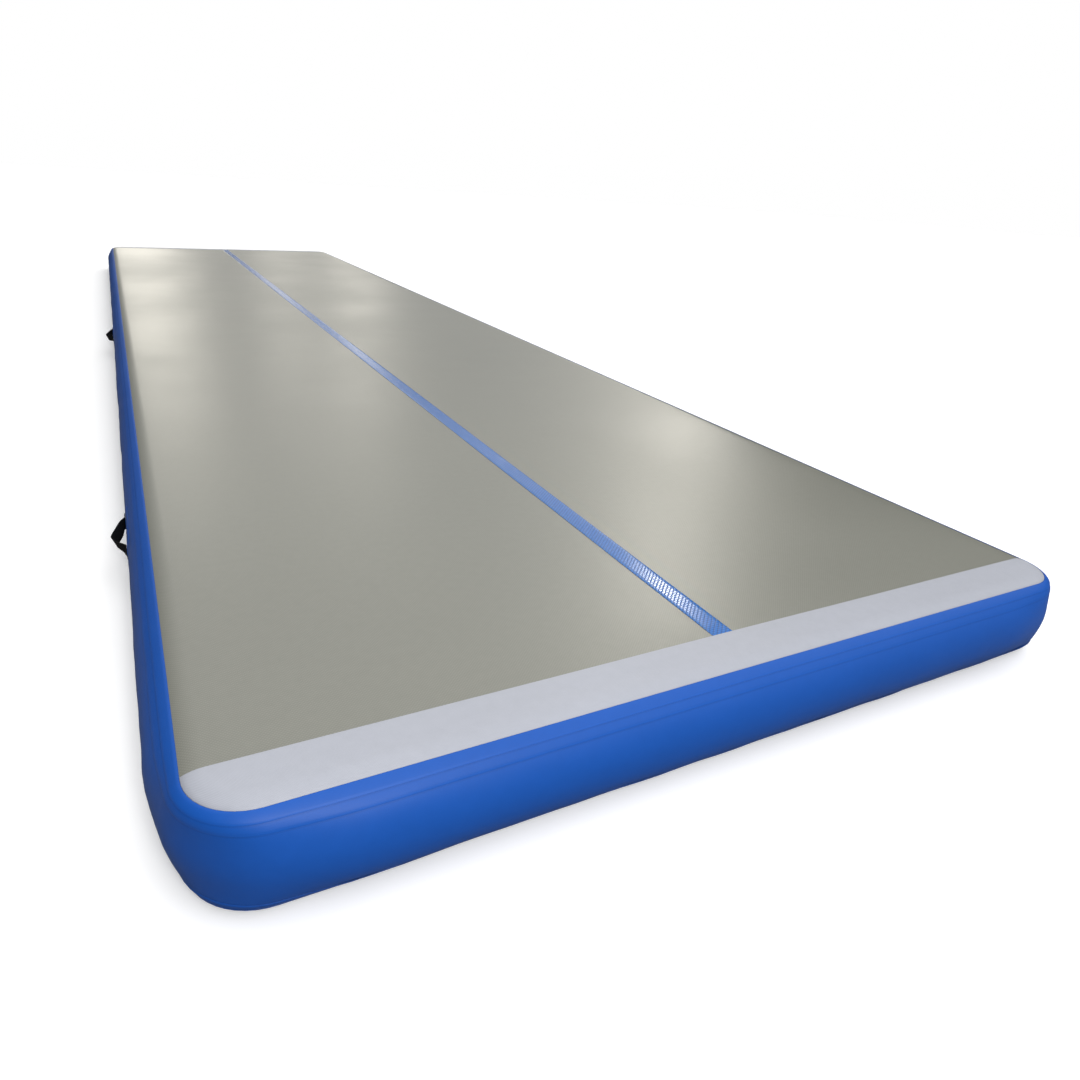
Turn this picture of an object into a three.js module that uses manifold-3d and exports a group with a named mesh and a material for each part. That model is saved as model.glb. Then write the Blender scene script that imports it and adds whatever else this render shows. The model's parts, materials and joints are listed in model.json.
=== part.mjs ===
// Air track mat: an inflatable drop-stitch tumbling track, 8 m long, 2.1 m wide and 0.2 m thick.
// Units are millimetres, +Z is up and +Y runs along the track. The origin is the centre of the
// footprint, on the floor. Air fills the space between the panels and the side wall.
import * as THREE from "three";
import { mergeVertices } from "three/addons/utils/BufferGeometryUtils.js";
import Module from "manifold-3d";

const wasm = await Module();
wasm.setup();

// Overall size of the inflated track.
const LENGTH = 8000;
const WIDTH = 2100;
const HEIGHT = 200;
const MID_HEIGHT = HEIGHT / 2;

// The side wall is half an ellipse in section. It bulges past the flat part of the panels.
const BULGE = 89.3;
const PLAN_CORNER_RADIUS = 155;
const CORNER_STEPS = 6;

// The corners of the plan draw the bulge in. This is the share of the bulge lost at mid height in
// the middle of a corner, and how far along the straight walls the loss begins.
const CORNER_PINCH = 0.35;
const PINCH_REACH = 140;

// Coated fabric: sheet thickness, and the space left between two layers that are glued together.
const SHEET = 1.0;
const TAPE = 0.8;
const GAP = 0.3;

// Angles round the side profile, from 0 at the top tangent to PI at the floor.
const TAPE_START = 0.3977;
const BAND_END = TAPE_START - 0.006;
const PANEL_LIP = 0.45;
const WALL_START = 0.47;
const RAIL_TAPE_END = 0.645;
const SEAM_TAPE_END = 0.85;
const INNER_WALL_START = 0.3;
const INNER_WALL_DEPTH = 2.2;

// The outer layers have their facets at the same angles, so that they stay parallel and never
// touch. The inner wall lies a little deeper and needs fewer.
const UPPER_FACETS = [0.2, TAPE_START, PANEL_LIP, WALL_START, RAIL_TAPE_END, SEAM_TAPE_END, 1.09, 1.33];
const FACET_ANGLES = [...UPPER_FACETS, Math.PI / 2, ...UPPER_FACETS.map((angle) => Math.PI - angle)];
const INNER_UPPER_FACETS = [RAIL_TAPE_END, SEAM_TAPE_END, 1.09, 1.33];
const INNER_LOWER_FACETS = INNER_UPPER_FACETS.map((angle) => Math.PI - angle);
const INNER_FACET_ANGLES = [...INNER_UPPER_FACETS, Math.PI / 2, ...INNER_LOWER_FACETS];

// Trim on the top panel.
const BAND_WIDTH = 160;
const STRIP_WIDTH = 50;
const STRIP_CLEARANCE = 0.5;

// Drop-stitch yarn rows.
const YARN_ROWS = 8;
const YARN_ROW_SPACING = 1000;
const YARN_HALF_WIDTH = 930;
const YARN_STITCHES = 30;
const YARN_THICKNESS = 1.5;
const YARN_HALF_DEPTH = 3.4;

// Carry handles.
const NEAR_HANDLE = -2750;
const MID_HANDLE = 0;
const HANDLE_DROOP = THREE.MathUtils.degToRad(20);
const PATCH_LENGTH = 240;
const PATCH_HEIGHT = 84;
const PATCH_TOP_ANGLE = Math.acos(PATCH_HEIGHT / HEIGHT);
const WEBBING_WIDTH = 32;
const WEBBING_THICKNESS = 1.6;
const WEBBING_HALF_LENGTH = 118;
const ARCH_HALF_LENGTH = 92;
const ARCH_DEPTH = 33;
const LOOP_HALF_LENGTH = 50;
const LOOP_CLEARANCE = 1.0;
const ARCH_TIP = 9;

// Valve, on the far end wall. Heights are measured outwards from the wall's outermost line.
const ROUND_STEPS = 48;
const SMALL_ROUND_STEPS = 24;
const TUBE_RADIUS = 22;
const BORE_RADIUS = 19;
const SEAT_RADIUS = 15;
const WALL_HOLE_RADIUS = 22.6;
const FLANGE_RADIUS = 31;
const PAD_RADIUS = 36;
const GASKET_RADIUS = 30;
const FLANGE_BASE = 1.8;
const FLANGE_TOP = 5;
const TUBE_END = -31;
const SEAT_TOP = -28;
const PAD_TOP = FLANGE_BASE - GAP;
const PAD_BOTTOM = -14;
const GASKET_BACK = -8;
const NUT_THICKNESS = 4.2;
const NUT_LOBES = 6;
const NUT_LOBE_RADIUS = 29;
const NUT_NOTCH_RADIUS = 26.5;
const THROUGH_CUT = 60;
const STEM_RADIUS = 2.5;
const HUB_RADIUS = 6.5;
const HUB_BORE = 2.8;
const HUB_BASE = -26;
const HUB_TOP = -21;
const SPOKE_WIDTH = 3;
const PLUNGER_DISC_RADIUS = 16.5;
const DIAPHRAGM_RADIUS = 17.5;
const DIAPHRAGM_THICKNESS = 1;
const BUTTON_RADIUS = 7;
const BUTTON_BASE = -6;
const SPRING_TOP = -8.6;
const SPRING_TURNS = 4.5;
const SPRING_RADIUS = 4.9;
const SPRING_WIRE = 0.6;
const CAP_SKIRT_BASE = -3;
const CAP_SKIRT_INNER = 15.5;
const CAP_SKIRT_OUTER = BORE_RADIUS - 0.4;
const CAP_PLATE_BASE = 6.6;
const CAP_PLATE_TOP = 9;
const CAP_PLATE_RADIUS = 24;
const CAP_NECK_RADIUS = 19.5;
const KNOB_RADIUS = 23;
const KNOB_TOP = 17.5;
const KNOB_CHAMFER = 1.2;
const SCALLOPS = 6;
const SCALLOP_RADIUS = 4;
const SCALLOP_ORBIT = 25.2;
const CAP_SEAL_INNER = 19.6;
const STUD_RADIUS = 2;
const STUD_ORBIT = 27.5;
const STUD_TOP = 12.2;
const TETHER_BASE = 9.4;
const TETHER_THICKNESS = 2.2;
const TETHER_TOP = TETHER_BASE + TETHER_THICKNESS;
const TETHER_COLLAR_INNER = 19.9;
const TETHER_COLLAR_OUTER = 23.5;
const TETHER_ARM_WIDTH = 3;
const TETHER_EYE_RADIUS = 4.2;
const TETHER_EYE_BORE = STUD_RADIUS + 0.5;
const TETHER_SWEEP = THREE.MathUtils.degToRad(200);

// Materials, one per kind of surface.
const surface = (color, roughness, metalness = 0) => ({ color, roughness, metalness });
const GREY_PVC = surface(0x8f959b, 0.42);
const BLUE_PVC = surface(0x1f55a4, 0.4);
const DEEP_BLUE_PVC = surface(0x1c4c9a, 0.38);
const PALE_PVC = surface(0xbac3cd, 0.6);
const STRIP_PVC = surface(0x2a5fb4, 0.25);
const BASE_PVC = surface(0x7f868e, 0.55);
const INNER_PVC = surface(0xc9ccce, 0.6);
const YARN = surface(0xe6e4dc, 0.9);
const WEBBING = surface(0x141518, 0.85);
const VALVE_GREY = surface(0x54585d, 0.45);
const VALVE_BLACK = surface(0x1b1c1f, 0.5);
const RUBBER = surface(0x101112, 0.8);
const SPRING_STEEL = surface(0xb9bcc0, 0.3, 1);

const track = new THREE.Group();

// Adds one named piece to a group.
function addPiece(group, name, geometry, finish) {
  const mesh = new THREE.Mesh(geometry, new THREE.MeshStandardMaterial(finish));
  mesh.name = name;
  group.add(mesh);
  return mesh;
}

// Merges shared corners, so that a geometry is one closed surface with its faces pointing out.
function closed(geometry) {
  const plain = geometry.clone();
  plain.deleteAttribute("normal");
  plain.deleteAttribute("uv");
  const merged = mergeVertices(plain, 1e-3);
  const corner = merged.attributes.position;
  const index = merged.index.array;
  const [a, b, c] = [new THREE.Vector3(), new THREE.Vector3(), new THREE.Vector3()];
  let volume = 0;
  for (let i = 0; i < index.length; i += 3) {
    a.fromBufferAttribute(corner, index[i]);
    b.fromBufferAttribute(corner, index[i + 1]);
    c.fromBufferAttribute(corner, index[i + 2]);
    volume += a.dot(b.cross(c));
  }
  if (volume < 0) {
    merged.setIndex(Array.from(index).reverse());
  }
  return merged;
}

// Turns a geometry into a solid that can be cut and joined.
function solid(geometry) {
  const merged = closed(geometry);
  return new wasm.Manifold(
    new wasm.Mesh({
      numProp: 3,
      vertProperties: merged.attributes.position.array,
      triVerts: new Uint32Array(merged.index.array),
    }),
  );
}

// Turns a solid back into a geometry.
function geometryOf(body) {
  const mesh = body.getMesh();
  return new THREE.BufferGeometry()
    .setAttribute("position", new THREE.Float32BufferAttribute(mesh.vertProperties, 3))
    .setIndex(Array.from(mesh.triVerts));
}

// A point of the side profile at an angle from the top tangent, sunk inwards by a depth. x is the
// distance from the centre of the plan corner and y is the height above the floor. A pinch draws
// the profile in between its seams.
function profilePoint(angle, depth, pinch = 0) {
  const out = Math.sin(angle);
  const drawnIn = pinch * THREE.MathUtils.smoothstep(out, Math.sin(TAPE_START), 1);
  const bend = new THREE.Vector2(BULGE * out * (1 - drawnIn), MID_HEIGHT * Math.cos(angle));
  const normal = new THREE.Vector2(MID_HEIGHT * Math.sin(angle), BULGE * Math.cos(angle));
  bend.addScaledVector(normal.normalize(), -depth);
  return new THREE.Vector2(PLAN_CORNER_RADIUS - BULGE + bend.x, MID_HEIGHT + bend.y);
}

// Points down the profile at one depth, between two angles.
function profileRun(from, to, depth, facets = FACET_ANGLES, pinch = 0) {
  const between = facets.filter((angle) => angle > from + 1e-6 && angle < to - 1e-6);
  between.sort((a, b) => a - b);
  return [from, ...between, to].map((angle) => profilePoint(angle, depth, pinch));
}

// How much of the bulge is drawn in at a distance before a corner. Distances past its start are
// negative, down to the middle of the corner.
function pinchAt(distance) {
  const whole = PINCH_REACH + (PLAN_CORNER_RADIUS * Math.PI) / 4;
  return CORNER_PINCH * THREE.MathUtils.smoothstep(PINCH_REACH - distance, 0, whole);
}

// Places round the plan: the centre the profile is measured from, the direction out and the pinch.
function planStations() {
  const halfX = WIDTH / 2 - PLAN_CORNER_RADIUS;
  const halfY = LENGTH / 2 - PLAN_CORNER_RADIUS;
  const centres = [
    [halfX, halfY],
    [-halfX, halfY],
    [-halfX, -halfY],
    [halfX, -halfY],
  ];
  const stations = [];
  const addStation = (x, y, turn, along, distance) => {
    const cos = Math.cos(turn);
    const sin = Math.sin(turn);
    stations.push({ x: x - sin * along, y: y + cos * along, cos, sin, pinch: pinchAt(distance) });
  };
  centres.forEach(([x, y], corner) => {
    const start = (corner * Math.PI) / 2;
    const end = start + Math.PI / 2;
    addStation(x, y, start, -PINCH_REACH, PINCH_REACH);
    addStation(x, y, start, -PINCH_REACH / 2, PINCH_REACH / 2);
    for (let i = 0; i <= CORNER_STEPS; i++) {
      const turn = (i / CORNER_STEPS) * (Math.PI / 2);
      addStation(x, y, start + turn, 0, -PLAN_CORNER_RADIUS * Math.min(turn, Math.PI / 2 - turn));
    }
    addStation(x, y, end, PINCH_REACH / 2, PINCH_REACH / 2);
    addStation(x, y, end, PINCH_REACH, PINCH_REACH);
  });
  return stations;
}

// Carries a run of profile points round the plan. A closed run makes a hoop, and an open one
// makes a sheet whose first and last edges are filled flat. Each patch is split across from its
// upper to its lower side as the plan runs on, on both faces, so that layers stay parallel.
function sweepRoundPlan(runAt, isHoop) {
  const stations = planStations();
  const points = runAt(0);
  const corners = [];
  for (const { x, y, cos, sin, pinch } of stations) {
    for (const point of runAt(pinch)) {
      corners.push(x + point.x * cos, y + point.x * sin, point.y);
    }
  }
  const at = (station, point) => (station % stations.length) * points.length + (point % points.length);
  const triangles = [];
  const spans = isHoop ? points.length : points.length - 1;
  for (let s = 0; s < stations.length; s++) {
    for (let p = 0; p < spans; p++) {
      const runsDown = points[(p + 1) % points.length].y < points[p].y;
      if (runsDown) {
        triangles.push(at(s, p), at(s + 1, p), at(s + 1, p + 1));
        triangles.push(at(s, p), at(s + 1, p + 1), at(s, p + 1));
      } else {
        triangles.push(at(s, p), at(s + 1, p), at(s, p + 1));
        triangles.push(at(s + 1, p), at(s + 1, p + 1), at(s, p + 1));
      }
    }
  }
  if (!isHoop) {
    const last = points.length - 1;
    for (let s = 1; s < stations.length - 1; s++) {
      triangles.push(at(0, 0), at(s + 1, 0), at(s, 0));
      triangles.push(at(0, last), at(s, last), at(s + 1, last));
    }
  }
  return new THREE.BufferGeometry()
    .setAttribute("position", new THREE.Float32BufferAttribute(corners, 3))
    .setIndex(triangles);
}

// A band of sheet that runs all the way round the side, between two profile angles.
function wallBand(from, to, outerDepth, thickness, facets) {
  const runAt = (pinch) => [
    ...profileRun(from, to, outerDepth, facets, pinch).reverse(),
    ...profileRun(from, to, outerDepth + thickness, facets, pinch),
  ];
  return closed(sweepRoundPlan(runAt, true));
}

// A sheet over the flat top that rolls over the shoulder as far as a profile angle.
function topSheet(lipAngle, outerDepth, thickness) {
  const runAt = (pinch) => [
    ...profileRun(0, lipAngle, outerDepth + thickness, FACET_ANGLES, pinch),
    ...profileRun(0, lipAngle, outerDepth, FACET_ANGLES, pinch).reverse(),
  ];
  return closed(sweepRoundPlan(runAt, false));
}

// The same piece turned upside down about the middle height.
function upsideDown(geometry) {
  const turned = geometry.clone();
  turned.translate(0, 0, -MID_HEIGHT);
  turned.rotateY(Math.PI);
  turned.translate(0, 0, MID_HEIGHT);
  return turned;
}

// The space inside the side profile at a depth, along the far end wall.
function endWallSpace(depth, facets) {
  const shape = new THREE.Shape(profileRun(0, Math.PI, depth, facets));
  const space = new THREE.ExtrudeGeometry(shape, { depth: 4 * PAD_RADIUS, bevelEnabled: false });
  space.rotateX(Math.PI / 2);
  space.rotateZ(Math.PI / 2);
  space.translate(-2 * PAD_RADIUS, LENGTH / 2 - PLAN_CORNER_RADIUS, 0);
  return solid(space);
}

// A round bar along Y, centred on the valve.
function valveBar(radius, from, to, steps = ROUND_STEPS) {
  const bar = new THREE.CylinderGeometry(radius, radius, to - from, steps);
  bar.translate(0, LENGTH / 2 + (from + to) / 2, MID_HEIGHT);
  return solid(bar);
}

// Panels, walls and tapes.
function addShell() {
  const topPanel = topSheet(PANEL_LIP, 0, SHEET);
  addPiece(track, "top_panel", topPanel, GREY_PVC);
  addPiece(track, "bottom_panel", upsideDown(topPanel), BASE_PVC);

  const hole = valveBar(WALL_HOLE_RADIUS, -THROUGH_CUT, THROUGH_CUT);
  const outerWall = wallBand(WALL_START, Math.PI - WALL_START, 0, SHEET);
  addPiece(track, "outer_side_wall", geometryOf(solid(outerWall).subtract(hole)), BLUE_PVC);

  const innerEnd = Math.PI - INNER_WALL_START;
  const innerWall = wallBand(INNER_WALL_START, innerEnd, INNER_WALL_DEPTH, SHEET, INNER_FACET_ANGLES);
  addPiece(track, "inner_side_wall", geometryOf(solid(innerWall).subtract(hole)), INNER_PVC);

  const seamTape = wallBand(TAPE_START, SEAM_TAPE_END, -GAP - TAPE, TAPE);
  addPiece(track, "top_seam_tape", seamTape, BLUE_PVC);
  addPiece(track, "bottom_seam_tape", upsideDown(seamTape), BLUE_PVC);

  const railTape = wallBand(TAPE_START, RAIL_TAPE_END, -2 * (GAP + TAPE), TAPE);
  addPiece(track, "top_rail_tape", railTape, DEEP_BLUE_PVC);
  addPiece(track, "bottom_rail_tape", upsideDown(railTape), DEEP_BLUE_PVC);
}

// Pale bands across both ends, and the line down the middle.
function addTrim() {
  const sheet = solid(topSheet(BAND_END, -GAP - TAPE, TAPE));
  for (const [end, side] of [["near", -1], ["far", 1]]) {
    const reach = new THREE.BoxGeometry(2 * WIDTH, 2 * BAND_WIDTH, 2 * HEIGHT);
    reach.translate(0, (side * LENGTH) / 2, HEIGHT);
    addPiece(track, `${end}_end_band`, geometryOf(sheet.intersect(solid(reach))), PALE_PVC);
  }
  const stripLength = LENGTH - 2 * (BAND_WIDTH + STRIP_CLEARANCE);
  const strip = new THREE.BoxGeometry(STRIP_WIDTH, stripLength, TAPE);
  strip.translate(0, 0, HEIGHT + GAP + TAPE / 2);
  addPiece(track, "centre_line_strip", closed(strip), STRIP_PVC);
}

// Rows of drop-stitch yarn. Each zigzags between the panels and holds them parallel.
function addYarnRows() {
  const low = SHEET + GAP + YARN_HALF_DEPTH;
  const high = HEIGHT - low;
  const upper = [];
  const lower = [];
  for (let i = 0; i <= YARN_STITCHES; i++) {
    const x = YARN_HALF_WIDTH * ((2 * i) / YARN_STITCHES - 1);
    const z = i % 2 ? high : low;
    upper.push(new THREE.Vector2(x, z + YARN_HALF_DEPTH));
    lower.unshift(new THREE.Vector2(x, z - YARN_HALF_DEPTH));
  }
  const zigzag = new THREE.Shape([...upper, ...lower]);
  for (let row = 0; row < YARN_ROWS; row++) {
    const yarn = new THREE.ExtrudeGeometry(zigzag, { depth: YARN_THICKNESS, bevelEnabled: false });
    yarn.rotateX(Math.PI / 2);
    yarn.translate(0, (row - (YARN_ROWS - 1) / 2) * YARN_ROW_SPACING, 0);
    addPiece(track, `drop_stitch_row_${row + 1}`, closed(yarn), YARN);
  }
}

// Webbing laid along a line of (outwards, along) points, standing upright.
function webbing(line) {
  const back = line.map(([out, along]) => new THREE.Vector2(out, along));
  const front = line.map(([out, along]) => new THREE.Vector2(out + WEBBING_THICKNESS, along));
  const shape = new THREE.Shape([...back, ...front.reverse()]);
  const strap = new THREE.ExtrudeGeometry(shape, { depth: WEBBING_WIDTH, bevelEnabled: false });
  strap.translate(0, 0, -WEBBING_WIDTH / 2);
  return closed(strap);
}

// How far out the arch of webbing stands, at a distance along from its middle.
function archOut(along) {
  const straight = ARCH_DEPTH * (1 - Math.abs(along) / ARCH_HALF_LENGTH);
  const tip = ARCH_DEPTH * (1 - ARCH_TIP / ARCH_HALF_LENGTH / 2);
  return Math.min(straight, tip);
}

// One carry handle. Its own frame has +X out of the wall and +Y along it.
function addHandle(name, side, along) {
  const handle = new THREE.Group();
  handle.position.set((side * WIDTH) / 2, along, MID_HEIGHT);
  handle.rotation.z = side > 0 ? 0 : Math.PI;
  track.add(handle);

  // The patch is a curved plate that fits the wall.
  const toWall = new THREE.Vector2(-PLAN_CORNER_RADIUS, -MID_HEIGHT);
  const outer = profileRun(PATCH_TOP_ANGLE, Math.PI - PATCH_TOP_ANGLE, -GAP - TAPE).reverse();
  const inner = profileRun(PATCH_TOP_ANGLE, Math.PI - PATCH_TOP_ANGLE, -GAP);
  const section = new THREE.Shape([...outer, ...inner].map((point) => point.add(toWall)));
  const patch = new THREE.ExtrudeGeometry(section, { depth: PATCH_LENGTH, bevelEnabled: false });
  patch.rotateX(Math.PI / 2);
  patch.translate(0, PATCH_LENGTH / 2, 0);
  addPiece(handle, `handle_patch_${name}`, closed(patch), BLUE_PVC);

  // The sewn ends lie flat on the patch, then rise towards the loop.
  const flat = 2 * GAP + TAPE;
  const rise = LOOP_HALF_LENGTH + LOOP_CLEARANCE;
  const kneeOut = flat + archOut(rise);
  const end = [[kneeOut, rise], [flat, ARCH_HALF_LENGTH], [flat, WEBBING_HALF_LENGTH]];
  addPiece(handle, `webbing_end_a_${name}`, webbing(end), WEBBING);
  const mirroredEnd = end.map(([out, at]) => [out, -at]).reverse();
  addPiece(handle, `webbing_end_b_${name}`, webbing(mirroredEnd), WEBBING);

  // The free loop swings about a line along the wall, and hangs a little at rest.
  const stops = [-LOOP_HALF_LENGTH, -ARCH_TIP, 0, ARCH_TIP, LOOP_HALF_LENGTH];
  const loop = webbing(stops.map((at) => [archOut(at) - WEBBING_THICKNESS / 2, at]));
  const swing = addPiece(handle, `webbing_loop_${name}`, loop, WEBBING);
  swing.rotation.y = HANDLE_DROOP;
}

// A turned piece about the valve's axis, from (radius, height) points.
function turned(points, steps = ROUND_STEPS) {
  const profile = points.map(([radius, height]) => new THREE.Vector2(radius, height));
  return closed(new THREE.LatheGeometry(profile, steps));
}

// A turned ring with a rectangular section.
function ring(innerRadius, outerRadius, from, to) {
  return turned([
    [innerRadius, from],
    [outerRadius, from],
    [outerRadius, to],
    [innerRadius, to],
    [innerRadius, from],
  ]);
}

// A flat plate across the valve's axis, from a shape drawn in (x, -z).
function valvePlate(shape, from, to) {
  const plate = new THREE.ExtrudeGeometry(shape, {
    depth: to - from,
    bevelEnabled: false,
    curveSegments: 6,
  });
  plate.rotateX(-Math.PI / 2);
  plate.translate(0, from, 0);
  return plate;
}

// A pad under the valve that is flat on one side and fits the curved wall on the other.
function fittedPad(radius, from, to, fit) {
  const hole = valveBar(WALL_HOLE_RADIUS, -THROUGH_CUT, THROUGH_CUT);
  const pad = valveBar(radius, from, to).subtract(hole);
  const geometry = geometryOf(fit(pad));
  geometry.translate(0, -LENGTH / 2, -MID_HEIGHT);
  return geometry;
}

// Moves a piece from the valve's axis out to the tether stud.
function toStud(geometry) {
  geometry.translate(STUD_ORBIT * Math.cos(TETHER_SWEEP), 0, -STUD_ORBIT * Math.sin(TETHER_SWEEP));
}

// The threaded housing with its flange, tether stud, valve seat and stem guide.
function valveHousing() {
  const shell = turned([
    [TUBE_RADIUS, TUBE_END],
    [TUBE_RADIUS, FLANGE_BASE],
    [FLANGE_RADIUS, FLANGE_BASE],
    [FLANGE_RADIUS, FLANGE_TOP - 0.8],
    [FLANGE_RADIUS - 1, FLANGE_TOP],
    [BORE_RADIUS, FLANGE_TOP],
    [BORE_RADIUS, SEAT_TOP],
    [SEAT_RADIUS, SEAT_TOP],
    [SEAT_RADIUS, TUBE_END],
    [TUBE_RADIUS, TUBE_END],
  ]);
  let housing = solid(shell);
  const hubMiddle = (HUB_TOP + HUB_BASE) / 2;
  const hubHeight = HUB_TOP - HUB_BASE;
  const spokes = 3;
  for (let i = 0; i < spokes; i++) {
    const spoke = new THREE.BoxGeometry(BORE_RADIUS, hubHeight - 2, SPOKE_WIDTH);
    spoke.translate(BORE_RADIUS / 2 + 1, hubMiddle, 0);
    spoke.rotateY((i * 2 * Math.PI) / spokes);
    housing = housing.add(solid(spoke));
  }
  const hub = new THREE.CylinderGeometry(HUB_RADIUS, HUB_RADIUS, hubHeight, SMALL_ROUND_STEPS);
  hub.translate(0, hubMiddle, 0);
  const guide = new THREE.CylinderGeometry(HUB_BORE, HUB_BORE, 2 * hubHeight, SMALL_ROUND_STEPS);
  guide.translate(0, hubMiddle, 0);
  const studBase = FLANGE_BASE + 1;
  const studLength = STUD_TOP - studBase;
  const stud = new THREE.CylinderGeometry(STUD_RADIUS, STUD_RADIUS, studLength, SMALL_ROUND_STEPS);
  stud.translate(0, (STUD_TOP + studBase) / 2, 0);
  toStud(stud);
  return geometryOf(housing.add(solid(hub)).subtract(solid(guide)).add(solid(stud)));
}

// The ring nut that pulls the housing tight from inside the mat.
function backNut() {
  const corners = 4 * NUT_LOBES;
  const outline = [];
  for (let i = 0; i < corners; i++) {
    const radius = i % 4 < 2 ? NUT_LOBE_RADIUS : NUT_NOTCH_RADIUS;
    const turn = (i * 2 * Math.PI) / corners;
    outline.push(new THREE.Vector2(radius * Math.cos(turn), radius * Math.sin(turn)));
  }
  const face = GASKET_BACK - GAP;
  const blank = solid(valvePlate(new THREE.Shape(outline), face - NUT_THICKNESS, face));
  const boreRadius = TUBE_RADIUS + GAP;
  const bore = new THREE.CylinderGeometry(boreRadius, boreRadius, THROUGH_CUT, ROUND_STEPS);
  return geometryOf(blank.subtract(solid(bore)));
}

// The spring's wire runs along a helix round the stem.
class Helix extends THREE.Curve {
  getPoint(t, target = new THREE.Vector3()) {
    const turn = t * SPRING_TURNS * 2 * Math.PI;
    const low = HUB_TOP + GAP + SPRING_WIRE;
    const high = SPRING_TOP - SPRING_WIRE;
    const height = low + (high - low) * t;
    return target.set(SPRING_RADIUS * Math.cos(turn), height, SPRING_RADIUS * Math.sin(turn));
  }
}

function valveSpring() {
  const wire = new THREE.Shape();
  wire.absarc(0, 0, SPRING_WIRE, 0, 2 * Math.PI, false);
  return new THREE.ExtrudeGeometry(wire, {
    steps: Math.round(SPRING_TURNS * 9),
    curveSegments: 3,
    extrudePath: new Helix(),
    bevelEnabled: false,
  });
}

// The screw-in cap: a plug skirt, a plate, a neck for the tether ring and a scalloped knob.
function valveCap() {
  const knobBase = TETHER_TOP + 0.4;
  let cap = solid(
    turned([
      [0, CAP_PLATE_BASE],
      [CAP_SKIRT_INNER, CAP_PLATE_BASE],
      [CAP_SKIRT_INNER, CAP_SKIRT_BASE],
      [CAP_SKIRT_OUTER, CAP_SKIRT_BASE],
      [CAP_SKIRT_OUTER, CAP_PLATE_BASE],
      [CAP_PLATE_RADIUS, CAP_PLATE_BASE],
      [CAP_PLATE_RADIUS, CAP_PLATE_TOP],
      [CAP_NECK_RADIUS, CAP_PLATE_TOP],
      [CAP_NECK_RADIUS, knobBase],
      [KNOB_RADIUS, knobBase],
      [KNOB_RADIUS, KNOB_TOP - KNOB_CHAMFER],
      [KNOB_RADIUS - KNOB_CHAMFER, KNOB_TOP],
      [0, KNOB_TOP],
    ]),
  );
  const length = 10;
  for (let i = 0; i < SCALLOPS; i++) {
    const groove = new THREE.CylinderGeometry(SCALLOP_RADIUS, SCALLOP_RADIUS, length, SMALL_ROUND_STEPS);
    groove.translate(SCALLOP_ORBIT, knobBase + 0.8 + length / 2, 0);
    groove.rotateY((i * 2 * Math.PI) / SCALLOPS);
    cap = cap.subtract(solid(groove));
  }
  return geometryOf(cap);
}

// The tether: a ring round the cap's neck, and an arm that curls round to an eye on the stud.
function capTether() {
  const inner = STUD_ORBIT - TETHER_ARM_WIDTH / 2;
  const outer = STUD_ORBIT + TETHER_ARM_WIDTH / 2;
  const arm = new THREE.Shape();
  arm.absarc(0, 0, outer, 0, TETHER_SWEEP, false);
  arm.absarc(0, 0, inner, TETHER_SWEEP, 0, true);
  arm.closePath();
  const curl = new THREE.ExtrudeGeometry(arm, {
    depth: TETHER_THICKNESS,
    bevelEnabled: false,
    curveSegments: 32,
  });
  curl.rotateX(-Math.PI / 2);
  curl.translate(0, TETHER_BASE, 0);
  const middle = TETHER_BASE + TETHER_THICKNESS / 2;
  const bridgeFrom = TETHER_COLLAR_INNER + 2.2;
  const bridge = new THREE.BoxGeometry(outer - bridgeFrom - 0.4, TETHER_THICKNESS, 5);
  bridge.translate((outer + bridgeFrom - 0.4) / 2, middle, -2.4);
  const [eye, hole] = [
    [TETHER_EYE_RADIUS, TETHER_THICKNESS],
    [TETHER_EYE_BORE, THROUGH_CUT],
  ].map(([radius, height]) => {
    const round = new THREE.CylinderGeometry(radius, radius, height, SMALL_ROUND_STEPS);
    round.translate(0, middle, 0);
    toStud(round);
    return round;
  });
  const collar = solid(ring(TETHER_COLLAR_INNER, TETHER_COLLAR_OUTER, TETHER_BASE, TETHER_TOP));
  return geometryOf(collar.add(solid(curl)).add(solid(bridge)).add(solid(eye)).subtract(solid(hole)));
}

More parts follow.
